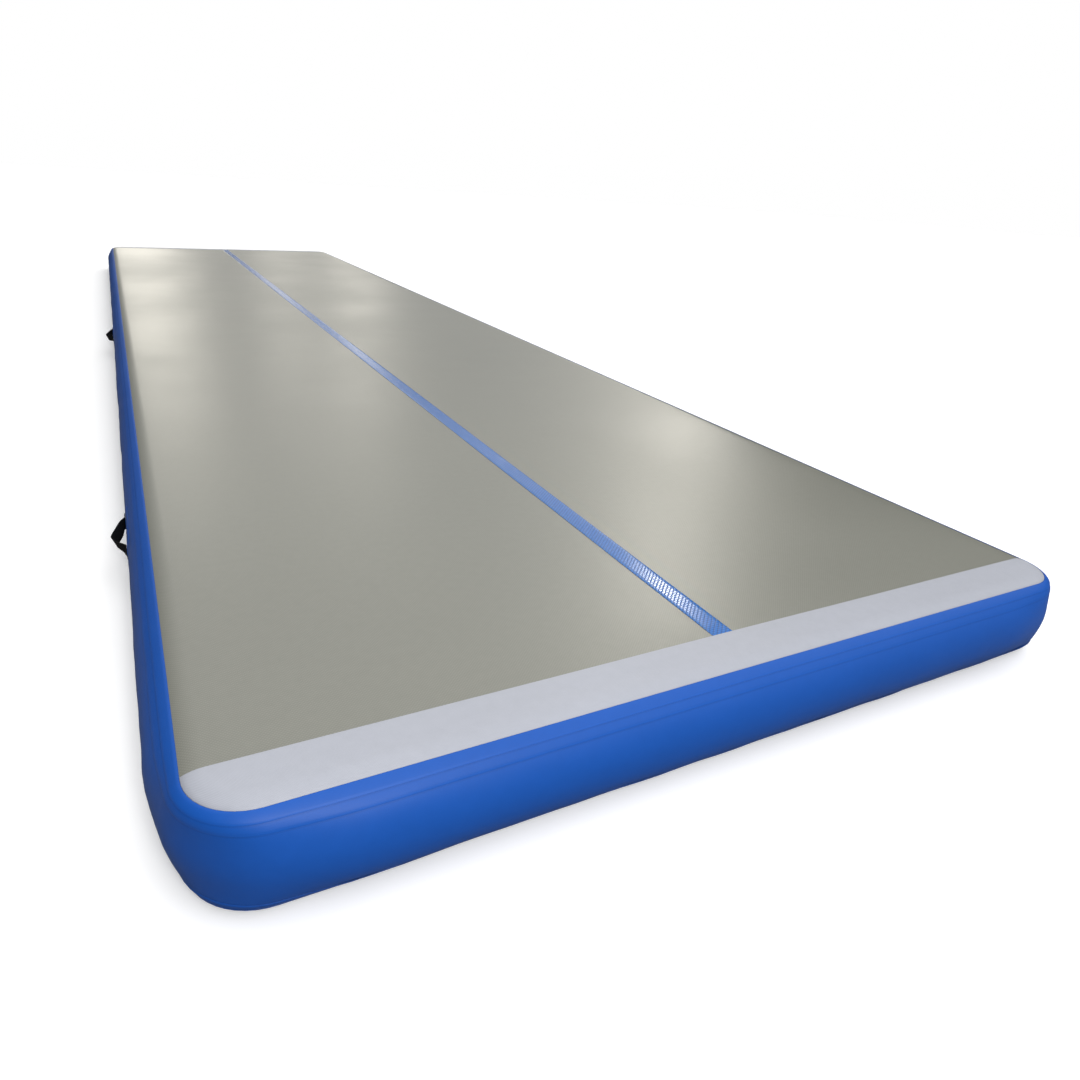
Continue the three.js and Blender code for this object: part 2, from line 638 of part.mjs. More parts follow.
// The one-way valve and its cap, at mid height on the far end wall.
function addValve() {
  const valve = new THREE.Group();
  valve.position.set(0, LENGTH / 2, MID_HEIGHT);
  track.add(valve);

  const outside = fittedPad(PAD_RADIUS, PAD_BOTTOM, PAD_TOP, (pad) =>
    pad.subtract(endWallSpace(-GAP)),
  );
  addPiece(valve, "valve_pad", outside, BLUE_PVC);
  const innerFace = INNER_WALL_DEPTH + SHEET + GAP;
  const inside = fittedPad(GASKET_RADIUS, GASKET_BACK, FLANGE_TOP, (pad) =>
    pad.intersect(endWallSpace(innerFace, INNER_FACET_ANGLES)),
  );
  addPiece(valve, "valve_gasket", inside, RUBBER);

  addPiece(valve, "valve_housing", valveHousing(), VALVE_GREY);
  addPiece(valve, "valve_back_nut", backNut(), VALVE_GREY);

  const sealFace = TUBE_END - GAP;
  const discTop = sealFace - DIAPHRAGM_THICKNESS - GAP;
  const plunger = turned([
    [0, discTop - 1.9],
    [PLUNGER_DISC_RADIUS, discTop - 1.9],
    [PLUNGER_DISC_RADIUS, discTop],
    [STEM_RADIUS, discTop],
    [STEM_RADIUS, BUTTON_BASE],
    [BUTTON_RADIUS, BUTTON_BASE + 0.6],
    [BUTTON_RADIUS, -1],
    [BUTTON_RADIUS - 1, 0],
    [0, 0],
  ]);
  addPiece(valve, "valve_plunger", plunger, VALVE_BLACK);
  const diaphragm = ring(HUB_BORE, DIAPHRAGM_RADIUS, sealFace - DIAPHRAGM_THICKNESS, sealFace);
  addPiece(valve, "valve_diaphragm", diaphragm, RUBBER);
  const retainer = ring(HUB_BORE, HUB_RADIUS, SPRING_TOP + GAP, BUTTON_BASE - 0.4);
  addPiece(valve, "spring_retainer", retainer, SPRING_STEEL);
  addPiece(valve, "valve_spring", closed(valveSpring()), SPRING_STEEL);

  addPiece(valve, "valve_cap", valveCap(), VALVE_BLACK);
  const seal = ring(CAP_SEAL_INNER, CAP_PLATE_RADIUS, FLANGE_TOP + GAP, CAP_PLATE_BASE - GAP);
  addPiece(valve, "cap_seal", seal, RUBBER);
  addPiece(valve, "cap_tether", capTether(), VALVE_BLACK);
}

addShell();
addTrim();
addYarnRows();
for (const [sideName, side] of [["left", -1], ["right", 1]]) {
  for (const [place, along] of [["near", NEAR_HANDLE], ["mid", MID_HANDLE]]) {
    addHandle(`${place}_${sideName}`, side, along);
  }
}
addValve();

export default track;
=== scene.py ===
"""Looks of the air track mat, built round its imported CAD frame.

Metres, +Z up, +Y along the track. Every layer of coated fabric is laid on one shared outer skin: a
flat top, a half-ellipse side wall and rounded plan corners, all measured from the CAD nodes. A layer
is a set of skin points and a lift off the skin, so layers stay parallel however the skin ripples.
"""
import json
import math

import bmesh
import bpy
import numpy as np
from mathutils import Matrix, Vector


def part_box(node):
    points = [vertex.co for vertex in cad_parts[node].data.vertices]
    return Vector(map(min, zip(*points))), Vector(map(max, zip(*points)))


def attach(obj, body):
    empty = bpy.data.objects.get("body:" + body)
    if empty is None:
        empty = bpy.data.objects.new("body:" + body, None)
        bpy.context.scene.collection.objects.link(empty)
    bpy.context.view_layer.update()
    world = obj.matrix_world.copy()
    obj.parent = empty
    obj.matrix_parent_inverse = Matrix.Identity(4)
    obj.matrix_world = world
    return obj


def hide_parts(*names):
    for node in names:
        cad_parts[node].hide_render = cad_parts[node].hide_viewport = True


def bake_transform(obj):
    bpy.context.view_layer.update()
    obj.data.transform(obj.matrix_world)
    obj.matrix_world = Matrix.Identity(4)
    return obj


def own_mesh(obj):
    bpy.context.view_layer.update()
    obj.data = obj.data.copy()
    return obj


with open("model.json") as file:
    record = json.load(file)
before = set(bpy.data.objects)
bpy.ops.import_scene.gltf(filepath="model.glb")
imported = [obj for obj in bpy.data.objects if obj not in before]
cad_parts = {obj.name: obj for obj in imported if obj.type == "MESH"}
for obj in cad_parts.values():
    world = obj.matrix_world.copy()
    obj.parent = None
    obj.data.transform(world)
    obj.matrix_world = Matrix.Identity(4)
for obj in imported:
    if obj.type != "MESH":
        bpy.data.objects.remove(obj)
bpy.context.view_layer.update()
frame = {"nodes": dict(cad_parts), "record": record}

nodes = frame["nodes"]

# Coated fabric: sheet and tape thickness, and the glue line between two layers.
SHEET = 0.0010
TAPE = 0.0008
GLUE = 0.0003

# Sheet borders: how far in a plain edge is rounded and how far it dips; the wider, deeper feathering
# of a tape; and how far a tape's underside drops to meet the layer below.
EDGE_INSET = 0.0006
EDGE_DIP = 0.0004
TAPE_FEATHER = 0.0030
TAPE_DIP = 0.00065
TAPE_SEAL = GLUE - 0.00005

# The inner wall's outer face, measured from the shared skin.
LINING_LIFT = -0.0022

# Sizes read from the CAD nodes.
HALF_X, HALF_Y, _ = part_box("outer_side_wall")[1]
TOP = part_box("top_panel")[1].z
MID = TOP / 2


def cad_vertices(node):
    mesh = nodes[node].data
    found = np.empty(len(mesh.vertices) * 3)
    mesh.vertices.foreach_get("co", found)
    return found.reshape(-1, 3)


rim = cad_vertices("top_panel")
rim = rim[rim[:, 2] > TOP - 1e-5]
BULGE = HALF_X - rim[:, 0].max()
CORNER = HALF_Y - rim[rim[:, 0] > rim[:, 0].max() - 1e-5][:, 1].max()
IN_X, IN_Y = HALF_X - CORNER, HALF_Y - CORNER

# The plan corners draw the bulge in, by a share of it at mid height in the middle of a corner. It
# starts a little way along the straight walls, and above and below it ends at the seams.
PINCH_REACH = 0.14
PINCH_SEAM = 0.387
wall_rim = cad_vertices("outer_side_wall") - np.array([IN_X, IN_Y, MID])
wall_rim = wall_rim[np.abs(wall_rim[:, 2]) < 1e-4]
in_corner = np.abs(wall_rim[:, 0] - wall_rim[:, 1]) < 1e-4
CORNER_OUT = np.linalg.norm(wall_rim[in_corner & (wall_rim[:, 0] > 0)][:, :2], axis=1).max()
CORNER_PINCH = 1 - (CORNER_OUT - CORNER + BULGE) / BULGE


def smooth_step(x, low, high):
    share = np.clip((x - low) / (high - low), 0, 1)
    return share * share * (3 - 2 * share)


def profile(angle, pinch=0.0):
    """Round the side profile from the top (0) to the floor (pi): distance out from the plan corner's
    centre, height, and the outward normal as (out, up)."""
    angle = np.asarray(angle, float)
    normal = np.stack([MID * np.sin(angle), BULGE * np.cos(angle)], -1)
    normal /= np.linalg.norm(normal, axis=-1, keepdims=True)
    drawn_in = pinch * smooth_step(np.sin(angle), PINCH_SEAM, 1)
    out = CORNER - BULGE + BULGE * np.sin(angle) * (1 - drawn_in)
    return out, MID + MID * np.cos(angle), normal


def angle_at(height, lift):
    """The profile angle at which a layer with this lift passes a height."""
    angles = np.linspace(0, math.pi, 4001)
    _, heights, normals = profile(angles)
    return float(np.interp(-height, -(heights + lift * normals[:, 1]), angles))


TAPE_START = angle_at(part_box("top_seam_tape")[1].z, GLUE + TAPE)
SEAM_TAPE_END = angle_at(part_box("top_seam_tape")[0].z, GLUE)
RAIL_TAPE_END = angle_at(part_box("top_rail_tape")[0].z, 2 * GLUE + TAPE)
BAND_END = angle_at(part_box("near_end_band")[0].z, GLUE)
PANEL_LIP = angle_at(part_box("top_panel")[0].z, -SHEET)
WALL_START = angle_at(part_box("outer_side_wall")[1].z, 0)
INNER_WALL_START = angle_at(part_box("inner_side_wall")[1].z, LINING_LIFT)
BAND_EDGE = -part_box("near_end_band")[1].y
VALVE = Vector((0, HALF_Y, MID))
PAD_RADIUS = (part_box("valve_pad")[1].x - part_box("valve_pad")[0].x) / 2

# Arc length down the profile, from the top tangent.
ARC_ANGLES = np.linspace(0, math.pi, 2001)
_out, _up, _ = profile(ARC_ANGLES)
ARC_LENGTHS = np.concatenate([[0], np.cumsum(np.hypot(np.diff(_out), np.diff(_up)))])


def arc(angle):
    return np.interp(angle, ARC_ANGLES, ARC_LENGTHS)


# ---- plan


class Plan:
    """Stops round the plan, anticlockwise from the near end of the right wall. Each has the centre its
    profile is measured from, the way out, and the distance run at the wall's outermost line."""

    def __init__(self, side, end, corner_steps):
        quarter = np.linspace(0, math.pi / 2, corner_steps + 1)[1:-1]
        centres, turns, run, from_corner = [], [], [], []
        start = 0.0
        corners = [(IN_X, IN_Y), (-IN_X, IN_Y), (-IN_X, -IN_Y), (IN_X, -IN_Y)]
        for k, corner in enumerate(corners):
            along = side if k % 2 == 0 else end
            for stop in along:
                reached = {0: (IN_X, stop), 1: (-stop, IN_Y), 2: (-IN_X, -stop), 3: (stop, -IN_Y)}[k]
                centres.append(reached)
                turns.append(k * math.pi / 2)
                run.append(start + stop - along[0])
                from_corner.append(along[-1] - abs(stop))
            start += along[-1] - along[0]
            for turn in quarter:
                centres.append(corner)
                turns.append(k * math.pi / 2 + turn)
                run.append(start + CORNER * turn)
                from_corner.append(-CORNER * min(turn, math.pi / 2 - turn))
            start += CORNER * math.pi / 2
        self.centre = np.array(centres)
        self.way = np.stack([np.cos(turns), np.sin(turns)], -1)
        self.run = np.array(run)
        whole = PINCH_REACH + CORNER * math.pi / 4
        self.pinch = CORNER_PINCH * smooth_step(PINCH_REACH - np.array(from_corner), 0, whole)
        self.total = start
        self.side, self.end, self.quarter = side, end, quarter

    def rings(self, angles):
        """Points, normals, run and angle for every stop at every profile angle, ring by ring."""
        angles = np.asarray(angles, float)[:, None]
        out, up, normal = profile(angles, self.pinch[None])
        flat = self.centre[None] + out[..., None] * self.way[None]
        points = np.concatenate([flat, np.broadcast_to(up[..., None], flat.shape[:2] + (1,))], -1)
        level = normal[..., :1] * self.way[None]
        rise = np.broadcast_to(normal[..., 1:], level.shape[:2] + (1,))
        normals = np.concatenate([level, rise], -1)
        run = np.broadcast_to(self.run, flat.shape[:2])
        turned = np.broadcast_to(angles, flat.shape[:2])
        return points, normals, run, turned


def spaced(half, spacing, extra=()):
    """Stops from -half to half at about one spacing, closer where the corners begin, and extra ones."""
    inner = half - PINCH_REACH
    even = np.linspace(-inner, inner, 2 * max(1, round(inner / spacing)) + 1)
    closer = inner + PINCH_REACH * np.array([0.25, 0.5, 0.75, 1.0])
    return np.unique(np.round(np.concatenate([-closer, even, closer, extra]), 6))


CORNER_STEPS = 12
plan = Plan(spaced(IN_Y, 0.055, (-BAND_EDGE, BAND_EDGE)), spaced(IN_X, 0.045), CORNER_STEPS)

# Where each wall starts in distance run: right, far end, left, near end.
QUARTER_RUN = CORNER * math.pi / 2
WALL_RUN = np.cumsum([0, 2 * IN_Y + QUARTER_RUN, 2 * IN_X + QUARTER_RUN, 2 * IN_Y + QUARTER_RUN])

# ---- relief


def make_waves(count, low, high, seed):
    """Random plane waves with wavelengths between low and high, as (wave vectors, phases)."""
    rng = np.random.default_rng(seed)
    ways = rng.normal(size=(count, 3))
    ways /= np.linalg.norm(ways, axis=1, keepdims=True)
    lengths = rng.uniform(low, high, (count, 1))
    return ways * 2 * math.pi / lengths, rng.uniform(0, 2 * math.pi, count)


def ripple(points, waves):
    vectors, phases = waves
    return np.sin(points @ vectors.T + phases).sum(-1) / math.sqrt(len(phases))


TOP_WAVES = make_waves(10, 0.35, 1.4, 11)
WALL_WAVES = make_waves(10, 0.12, 0.6, 12)
CREASE_WAVES = make_waves(12, 0.06, 0.2, 5)
TOP_RIPPLE = 0.00025
WALL_RIPPLE = 0.0006

# Profile angles at which the top's ripple has died out, and the wall's begins and is full.
TOP_CALM = 0.5
WALL_STIRS, WALL_FULL = 0.4, 0.9

# The wall as cloth: its grid, its starting creases, how it is blown out, and how much of the result
# is used.
CLOTH_ROWS = 13
CLOTH_SPACING = 0.035
CLOTH_CORNER_STEPS = 6
CLOTH_CREASE = 0.0008
CLOTH_FRAMES = 20
CLOTH_MASS = 0.3
CLOTH_STRETCH, CLOTH_SHEAR, CLOTH_BEND = 40, 10, 2
CLOTH_SLACK = -0.012
AIR_PRESSURE = 4
WALL_MOVE_CAP = 0.0025
WALL_MOVE_SHARE = 0.25


def inflate_wall():
    """Blows out the side wall as cloth held along both seams. Returns the distance run and profile
    angle of its rows, and how far each point leaves the plain profile."""
    angles = np.linspace(WALL_START, math.pi - WALL_START, CLOTH_ROWS)
    coarse = Plan(spaced(IN_Y, CLOTH_SPACING), spaced(IN_X, CLOTH_SPACING), CLOTH_CORNER_STEPS)
    points, normals, _, _ = coarse.rings(angles)
    start = points + normals * (CLOTH_CREASE * ripple(points, CREASE_WAVES))[..., None]
    ring = len(coarse.run)
    mesh = bpy.data.meshes.new("wall_cloth")
    mesh.from_pydata(start.reshape(-1, 3).tolist(), [], band_faces(len(angles), ring, True))
    cloth = bpy.data.objects.new("wall_cloth", mesh)
    bpy.context.scene.collection.objects.link(cloth)
    held = cloth.vertex_groups.new(name="held")
    last_row = ring * (len(angles) - 1)
    held.add([*range(ring), *range(last_row, last_row + ring)], 1.0, "REPLACE")
    modifier = cloth.modifiers.new("air", "CLOTH")
    settings = modifier.settings
    settings.quality = 5
    settings.mass = CLOTH_MASS
    settings.tension_stiffness = settings.compression_stiffness = CLOTH_STRETCH
    settings.shear_stiffness = CLOTH_SHEAR
    settings.bending_stiffness = CLOTH_BEND
    settings.shrink_min = CLOTH_SLACK
    settings.use_pressure = True
    settings.uniform_pressure_force = AIR_PRESSURE
    settings.effector_weights.gravity = 0
    settings.vertex_group_mass = "held"
    modifier.point_cache.frame_start, modifier.point_cache.frame_end = 1, CLOTH_FRAMES
    scene = bpy.context.scene
    for step in range(1, CLOTH_FRAMES + 1):
        scene.frame_set(step)
    blown = cloth.evaluated_get(bpy.context.evaluated_depsgraph_get())
    reached = np.empty(len(mesh.vertices) * 3)
    blown.data.vertices.foreach_get("co", reached)
    bpy.data.objects.remove(cloth)
    scene.frame_set(1)
    moved = ((reached.reshape(points.shape) - points) * normals).sum(-1)
    moved -= np.median(moved, axis=1, keepdims=True)
    return coarse, angles, WALL_MOVE_SHARE * np.clip(moved, -WALL_MOVE_CAP, WALL_MOVE_CAP)


def band_faces(rows, columns, closed):
    """Quads between the rows of a grid; closed joins the last column to the first."""
    last = columns if closed else columns - 1
    r, c = np.meshgrid(np.arange(rows - 1), np.arange(last), indexing="ij")
    after = (c + 1) % columns
    quads = [r * columns + c, (r + 1) * columns + c, (r + 1) * columns + after, r * columns + after]
    return np.stack(quads, -1).reshape(-1, 4).tolist()


blown_plan, blown_angles, blown = inflate_wall()


def wall_move(run, angle):
    """The inflated wall's move off the plain profile, read from its table."""
    run, angle = np.broadcast_arrays(run, angle)
    total = blown_plan.total
    stops = np.concatenate([blown_plan.run, [total]])
    table = np.concatenate([blown, blown[:, :1]], axis=1)
    column = np.clip(np.searchsorted(stops, run % total, side="right") - 1, 0, len(stops) - 2)
    across = (run % total - stops[column]) / (stops[column + 1] - stops[column])
    step = blown_angles[1] - blown_angles[0]
    height = np.clip((angle - blown_angles[0]) / step, 0, len(blown_angles) - 1)
    row = np.minimum(height.astype(int), len(blown_angles) - 2)
    up = height - row
    low = table[row, column] * (1 - across) + table[row, column + 1] * across
    high = table[row + 1, column] * (1 - across) + table[row + 1, column + 1] * across
    return low * (1 - up) + high * up


def relief(points, normals, run, angle):
    """Skin points moved off the plain shape: slow waves in the top, the blown wall, calm at the valve
    and none on the floor."""
    on_top = 1 - smooth_step(angle, 0.0, TOP_CALM)
    on_wall = smooth_step(angle, WALL_STIRS, WALL_FULL)
    on_wall = on_wall * (1 - smooth_step(angle, math.pi - WALL_FULL, math.pi - WALL_STIRS))
    move = TOP_RIPPLE * on_top * ripple(points, TOP_WAVES)
    move = move + on_wall * (WALL_RIPPLE * ripple(points, WALL_WAVES) + wall_move(run, angle))
    calm = smooth_step(np.linalg.norm(points - np.array(VALVE), axis=-1), PAD_RADIUS, 3 * PAD_RADIUS)
    return points + normals * (move * calm)[..., None]


# ---- skins and layers


class Skin:
    """Points on the outer skin, the way each faces, their place on the unrolled fabric in metres, and
    the faces between them."""

    def __init__(self, points, normals, uv, faces, wrap=0.0):
        self.points = np.asarray(points, float).reshape(-1, 3)
        self.normals = np.asarray(normals, float).reshape(-1, 3)
        self.uv = np.asarray(uv, float).reshape(-1, 2)
        self.faces = faces
        self.wrap = wrap

    def keep(self, wanted):
        """The part of the skin whose faces' centres pass a test."""
        faces = [f for f in self.faces if wanted(self.points[f].mean(0))]
        used = sorted({i for f in faces for i in f})
        new = {old: i for i, old in enumerate(used)}
        faces = [[new[i] for i in f] for f in faces]
        return Skin(self.points[used], self.normals[used], self.uv[used], faces, self.wrap)

    def edge(self):
        """Indices of the points on the skin's open edges, and those edges in face order."""
        seen = {}
        for f in self.faces:
            for a, b in zip(f, f[1:] + f[:1]):
                seen[(a, b)] = True
        edges = [(a, b) for a, b in seen if (b, a) not in seen]
        return sorted({i for e in edges for i in e}), edges


def link(mesh, name, finish, smooth=40):
    piece = bpy.data.objects.new(name, mesh)
    bpy.context.scene.collection.objects.link(piece)
    mesh.materials.clear()
    mesh.materials.append(finish)
    mesh.shade_smooth()
    mesh.set_sharp_from_angle(angle=math.radians(smooth))
    return piece


def layer(name, skin, outer, thickness, finish, round_edge=EDGE_DIP, seal=0.0):
    """A closed sheet on a skin: its outer face at a lift, its inner face one thickness below. At the
    border the outer face dips by round_edge, and the inner face by seal to meet the layer under it."""
    count = len(skin.points)
    lift = np.array(np.broadcast_to(outer, count), float)
    depth = np.full(count, lift.max() - thickness)
    border, edges = skin.edge()
    lift[border] -= round_edge
    depth[border] -= seal
    top = skin.points + skin.normals * lift[:, None]
    under = skin.points + skin.normals * depth[:, None]
    faces = [list(f) for f in skin.faces] + [[i + count for i in reversed(f)] for f in skin.faces]
    faces += [[b, a, a + count, b + count] for a, b in edges]
    mesh = bpy.data.meshes.new(name)
    mesh.from_pydata(np.concatenate([top, under]).tolist(), [], faces)
    place = np.concatenate([skin.uv, skin.uv])
    loops = np.array([l.vertex_index for l in mesh.loops])
    uv = place[loops].copy()
    if skin.wrap:
        for face in mesh.polygons:
            span = slice(face.loop_start, face.loop_start + face.loop_total)
            across = uv[span, 0]
            if across.max() - across.min() > skin.wrap / 2:
                uv[span, 0] = np.where(across < skin.wrap / 2, across + skin.wrap, across)
    mesh.uv_layers.new(name="fabric").data.foreach_set("uv", uv.astype(np.float32).ravel())
    mesh.update()
    return link(mesh, name, finish)


def ring_angles(start, end, spacing=0.085):
    """Profile angles from start to end, stopping at every tape edge between them."""
    marks = [TAPE_START, PANEL_LIP, WALL_START, RAIL_TAPE_END, SEAM_TAPE_END, math.pi / 2]
    marks += [math.pi - m for m in marks[:-1]]
    marks = [start] + sorted(m for m in marks if start + 1e-6 < m < end - 1e-6) + [end]
    found = [start]
    for low, high in zip(marks, marks[1:]):
        steps = max(1, math.ceil((high - low) / spacing))
        found += list(np.linspace(low, high, steps + 1)[1:])
    return np.array(found)


def wall_skin(start, end, edge_inset=EDGE_INSET):
    """A band of skin all the way round, with a narrow first and last ring for its rounded edges."""
    angles = ring_angles(start, end)
    inset = edge_inset / MID
    angles = np.concatenate([[start, start + inset], angles[1:-1], [end - inset, end]])
    points, normals, run, angle = plan.rings(angles)
    uv = np.stack([run, arc(angle)], -1)
    moved = relief(points, normals, run, angle)
    faces = band_faces(len(angles), len(plan.run), True)
    return Skin(moved, normals, uv, faces, plan.total)


def lid_skin(lip, rippled=True):
    """The flat top and its shoulder, down to a profile angle."""
    corner_y = IN_Y + (CORNER - BULGE) * np.sin(plan.quarter)
    corner_half = IN_X + (CORNER - BULGE) * np.cos(plan.quarter)
    end_y = IN_Y + CORNER - BULGE
    rows_y = np.concatenate([[-end_y], -corner_y[::-1], plan.side, corner_y, [end_y]])
    straight = np.full(len(plan.side), IN_X + CORNER - BULGE)
    half = np.concatenate([[IN_X], corner_half[::-1], straight, corner_half, [IN_X]])
    share = plan.end / IN_X
    rows, columns = len(rows_y), len(share)
    grid = np.zeros((rows, columns, 3))
    grid[..., 0] = half[:, None] * share[None]
    grid[..., 1] = rows_y[:, None]
    grid[..., 2] = TOP
    faces = [f[::-1] for f in band_faces(rows, columns, False)]
    index = np.arange(rows * columns).reshape(rows, columns)
    steps = len(plan.quarter)
    first, last = steps + 1, rows - steps - 1
    loop = list(index[first:last, -1]) + list(index[last:-1, -1]) + list(index[-1, ::-1])
    loop += list(index[last:-1, 0][::-1]) + list(index[first:last, 0][::-1])
    loop += list(index[1:first, 0][::-1]) + list(index[0]) + list(index[1:first, -1])
    angles = ring_angles(0, lip, 0.1)[1:]
    angles = np.concatenate([angles[:-1], [lip - EDGE_INSET / MID, lip]])
    points, normals, run, angle = plan.rings(angles)
    size = rows * columns
    ring = len(plan.run)
    for i in range(ring):
        j = (i + 1) % ring
        faces.append([int(loop[i]), size + i, size + j, int(loop[j])])
    faces += [[i + size for i in f] for f in band_faces(len(angles), ring, True)]
    all_points = np.concatenate([grid.reshape(-1, 3), points.reshape(-1, 3)])
    up = np.broadcast_to([0.0, 0.0, 1.0], (size, 3))
    all_normals = np.concatenate([up, normals.reshape(-1, 3)])
    all_run = np.concatenate([np.zeros(size), run.ravel()])
    all_angle = np.concatenate([np.zeros(size), angle.ravel()])
    shoulder = (arc(angle) - profile(angle)[0] + CORNER - BULGE)[..., None] * plan.way[None]
    uv = np.concatenate([grid.reshape(-1, 3)[:, :2], (points[..., :2] + shoulder).reshape(-1, 2)])
    moved = relief(all_points, all_normals, all_run, all_angle) if rippled else all_points
    return Skin(moved, all_normals, uv, faces)


def upside_down(skin):
    """The same skin turned over about the mid height."""
    flip = np.array([1, 1, -1])
    points = skin.points * flip + np.array([0, 0, TOP])
    uv = skin.uv if not skin.wrap else np.stack([skin.uv[:, 0], arc(math.pi) - skin.uv[:, 1]], -1)
    return Skin(points, skin.normals * flip, uv, [f[::-1] for f in skin.faces], skin.wrap)


# ---- materials


class Graph:
    """Shorthand for building a node tree."""

    def __init__(self, tree):
        self.tree = tree

    def feed(self, socket, value):
        if isinstance(value, bpy.types.NodeSocket):
            self.tree.links.new(value, socket)
        else:
            socket.default_value = value

    def node(self, kind, inputs=None, **settings):
        made = self.tree.nodes.new("ShaderNode" + kind)
        for key, value in settings.items():
            setattr(made, key, value)
        for key, value in (inputs or {}).items():
            self.feed(made.inputs[key], value)
        return made

    def math(self, operation, *values):
        made = self.node("Math", operation=operation)
        for socket, value in zip(made.inputs, values):
            self.feed(socket, value)
        return made.outputs[0]

    def vector(self, operation, *values):
        made = self.node("VectorMath", operation=operation)
        for socket, value in zip(made.inputs, values):
            self.feed(socket, value)
        return made.outputs["Value" if operation == "DOT_PRODUCT" else "Vector"]

    def noise(self, where, scale, detail=2.0, rough=0.5):
        inputs = {"Vector": where, "Scale": scale, "Detail": detail, "Roughness": rough}
        return self.node("TexNoise", inputs).outputs["Fac"]

    def split(self, where):
        return self.node("SeparateXYZ", {"Vector": where}).outputs

    def fit(self, value, low, high, to_low=0.0, to_high=1.0, smooth=False):
        kind = "SMOOTHSTEP" if smooth else "LINEAR"
        ends = {"Value": value, "From Min": low, "From Max": high, "To Min": to_low, "To Max": to_high}
        return self.node("MapRange", ends, interpolation_type=kind).outputs["Result"]

    def wave(self, value, pitch):
        """A sine along a coordinate, from 0 to 1, once every pitch."""
        turned = self.math("SINE", self.math("MULTIPLY", value, 2 * math.pi / pitch))
        return self.math("MULTIPLY_ADD", turned, 0.5, 0.5)

    def line(self, value, centre, half_width):
        """1 on a line across a coordinate, fading to 0 at half a width away."""
        away = self.math("ABSOLUTE", self.math("SUBTRACT", value, centre))
        return self.fit(away, 0.0, half_width, 1.0, 0.0, smooth=True)


def diamonds(pitch, top=1.0):
    """Raised diamonds in a slanted grid. Their tops are cut flat at a share of their full height."""

    def build(g, where):
        x, y = g.split(where)[:2]
        one = g.wave(g.math("ADD", x, y), pitch)
        two = g.wave(g.math("SUBTRACT", x, y), pitch)
        rounded = g.math("SQRT", g.math("MULTIPLY", one, two))
        return g.math("DIVIDE", g.math("MINIMUM", rounded, top), top)

    return build


def linen(pitch):
    """A plain weave seen through its coating, with threads of uneven weight."""

    def build(g, where):
        x, y = g.split(where)[:2]
        over = g.math("MULTIPLY", g.wave(x, pitch), g.wave(y, pitch))
        under = g.math(
            "MULTIPLY",
            g.math("SUBTRACT", 1.0, g.wave(x, pitch)),
            g.math("SUBTRACT", 1.0, g.wave(y, pitch)),
        )
        uneven = g.noise(g.vector("MULTIPLY", where, (1.0, 9.0, 1.0)), 60.0)
        return g.math("ADD", g.math("MAXIMUM", over, under), g.math("MULTIPLY", uneven, 0.5))

    return build


def webbing_weave(pitch):
    """Rows of slanted stitches in long ribs."""

    def build(g, where):
        x, y = g.split(where)[:2]
        rib = g.wave(y, 3 * pitch)
        slant = g.wave(g.math("ADD", x, g.math("MULTIPLY", rib, pitch * 0.5)), pitch)
        return g.math("MULTIPLY", slant, g.math("MULTIPLY_ADD", rib, 0.6, 0.4))

    return build


def speckle(scale):
    """Fine moulded or calendered grain."""

    def build(g, where):
        return g.noise(where, scale, 3.0)

    return build


# Beside each tape edge, on the unrolled wall: a painted shadow line below it, for the shade under
# the tape's step, and a painted highlight line above it, for light caught on the tape's edge; each as
# a distance from the edge, a half width and a change of shade.
PAINTED_SHADOW_AT, PAINTED_SHADOW_HALF, PAINTED_SHADOW_SHADE = 0.0014, 0.0022, -0.09
PAINTED_HIGHLIGHT_AT, PAINTED_HIGHLIGHT_HALF, PAINTED_HIGHLIGHT_GAIN = 0.0022, 0.0024, 0.08


def painted_seam_light(g, where):
    """How strongly each point shows the painted shadow line, and how strongly the painted highlight
    line.
    """
    down = g.split(where)[1]
    dark, pale = 0.0, 0.0
    for edge in (RAIL_TAPE_END, SEAM_TAPE_END):
        for at, sign in ((float(arc(edge)), 1), (float(arc(math.pi) - arc(edge)), -1)):
            dark = g.math("MAXIMUM", dark, g.line(down, at + sign * PAINTED_SHADOW_AT, PAINTED_SHADOW_HALF))
            pale = g.math("MAXIMUM", pale, g.line(down, at - sign * PAINTED_HIGHLIGHT_AT, PAINTED_HIGHLIGHT_HALF))
    return dark, pale


# Slow changes of colour and gloss over a surface, and the fine grain in its colour.
DRIFT_SCALE, GRAIN_SCALE = 1.3, 45.0
GRAIN_SHADE = 0.03
GLOSS_CHANGE = 0.03


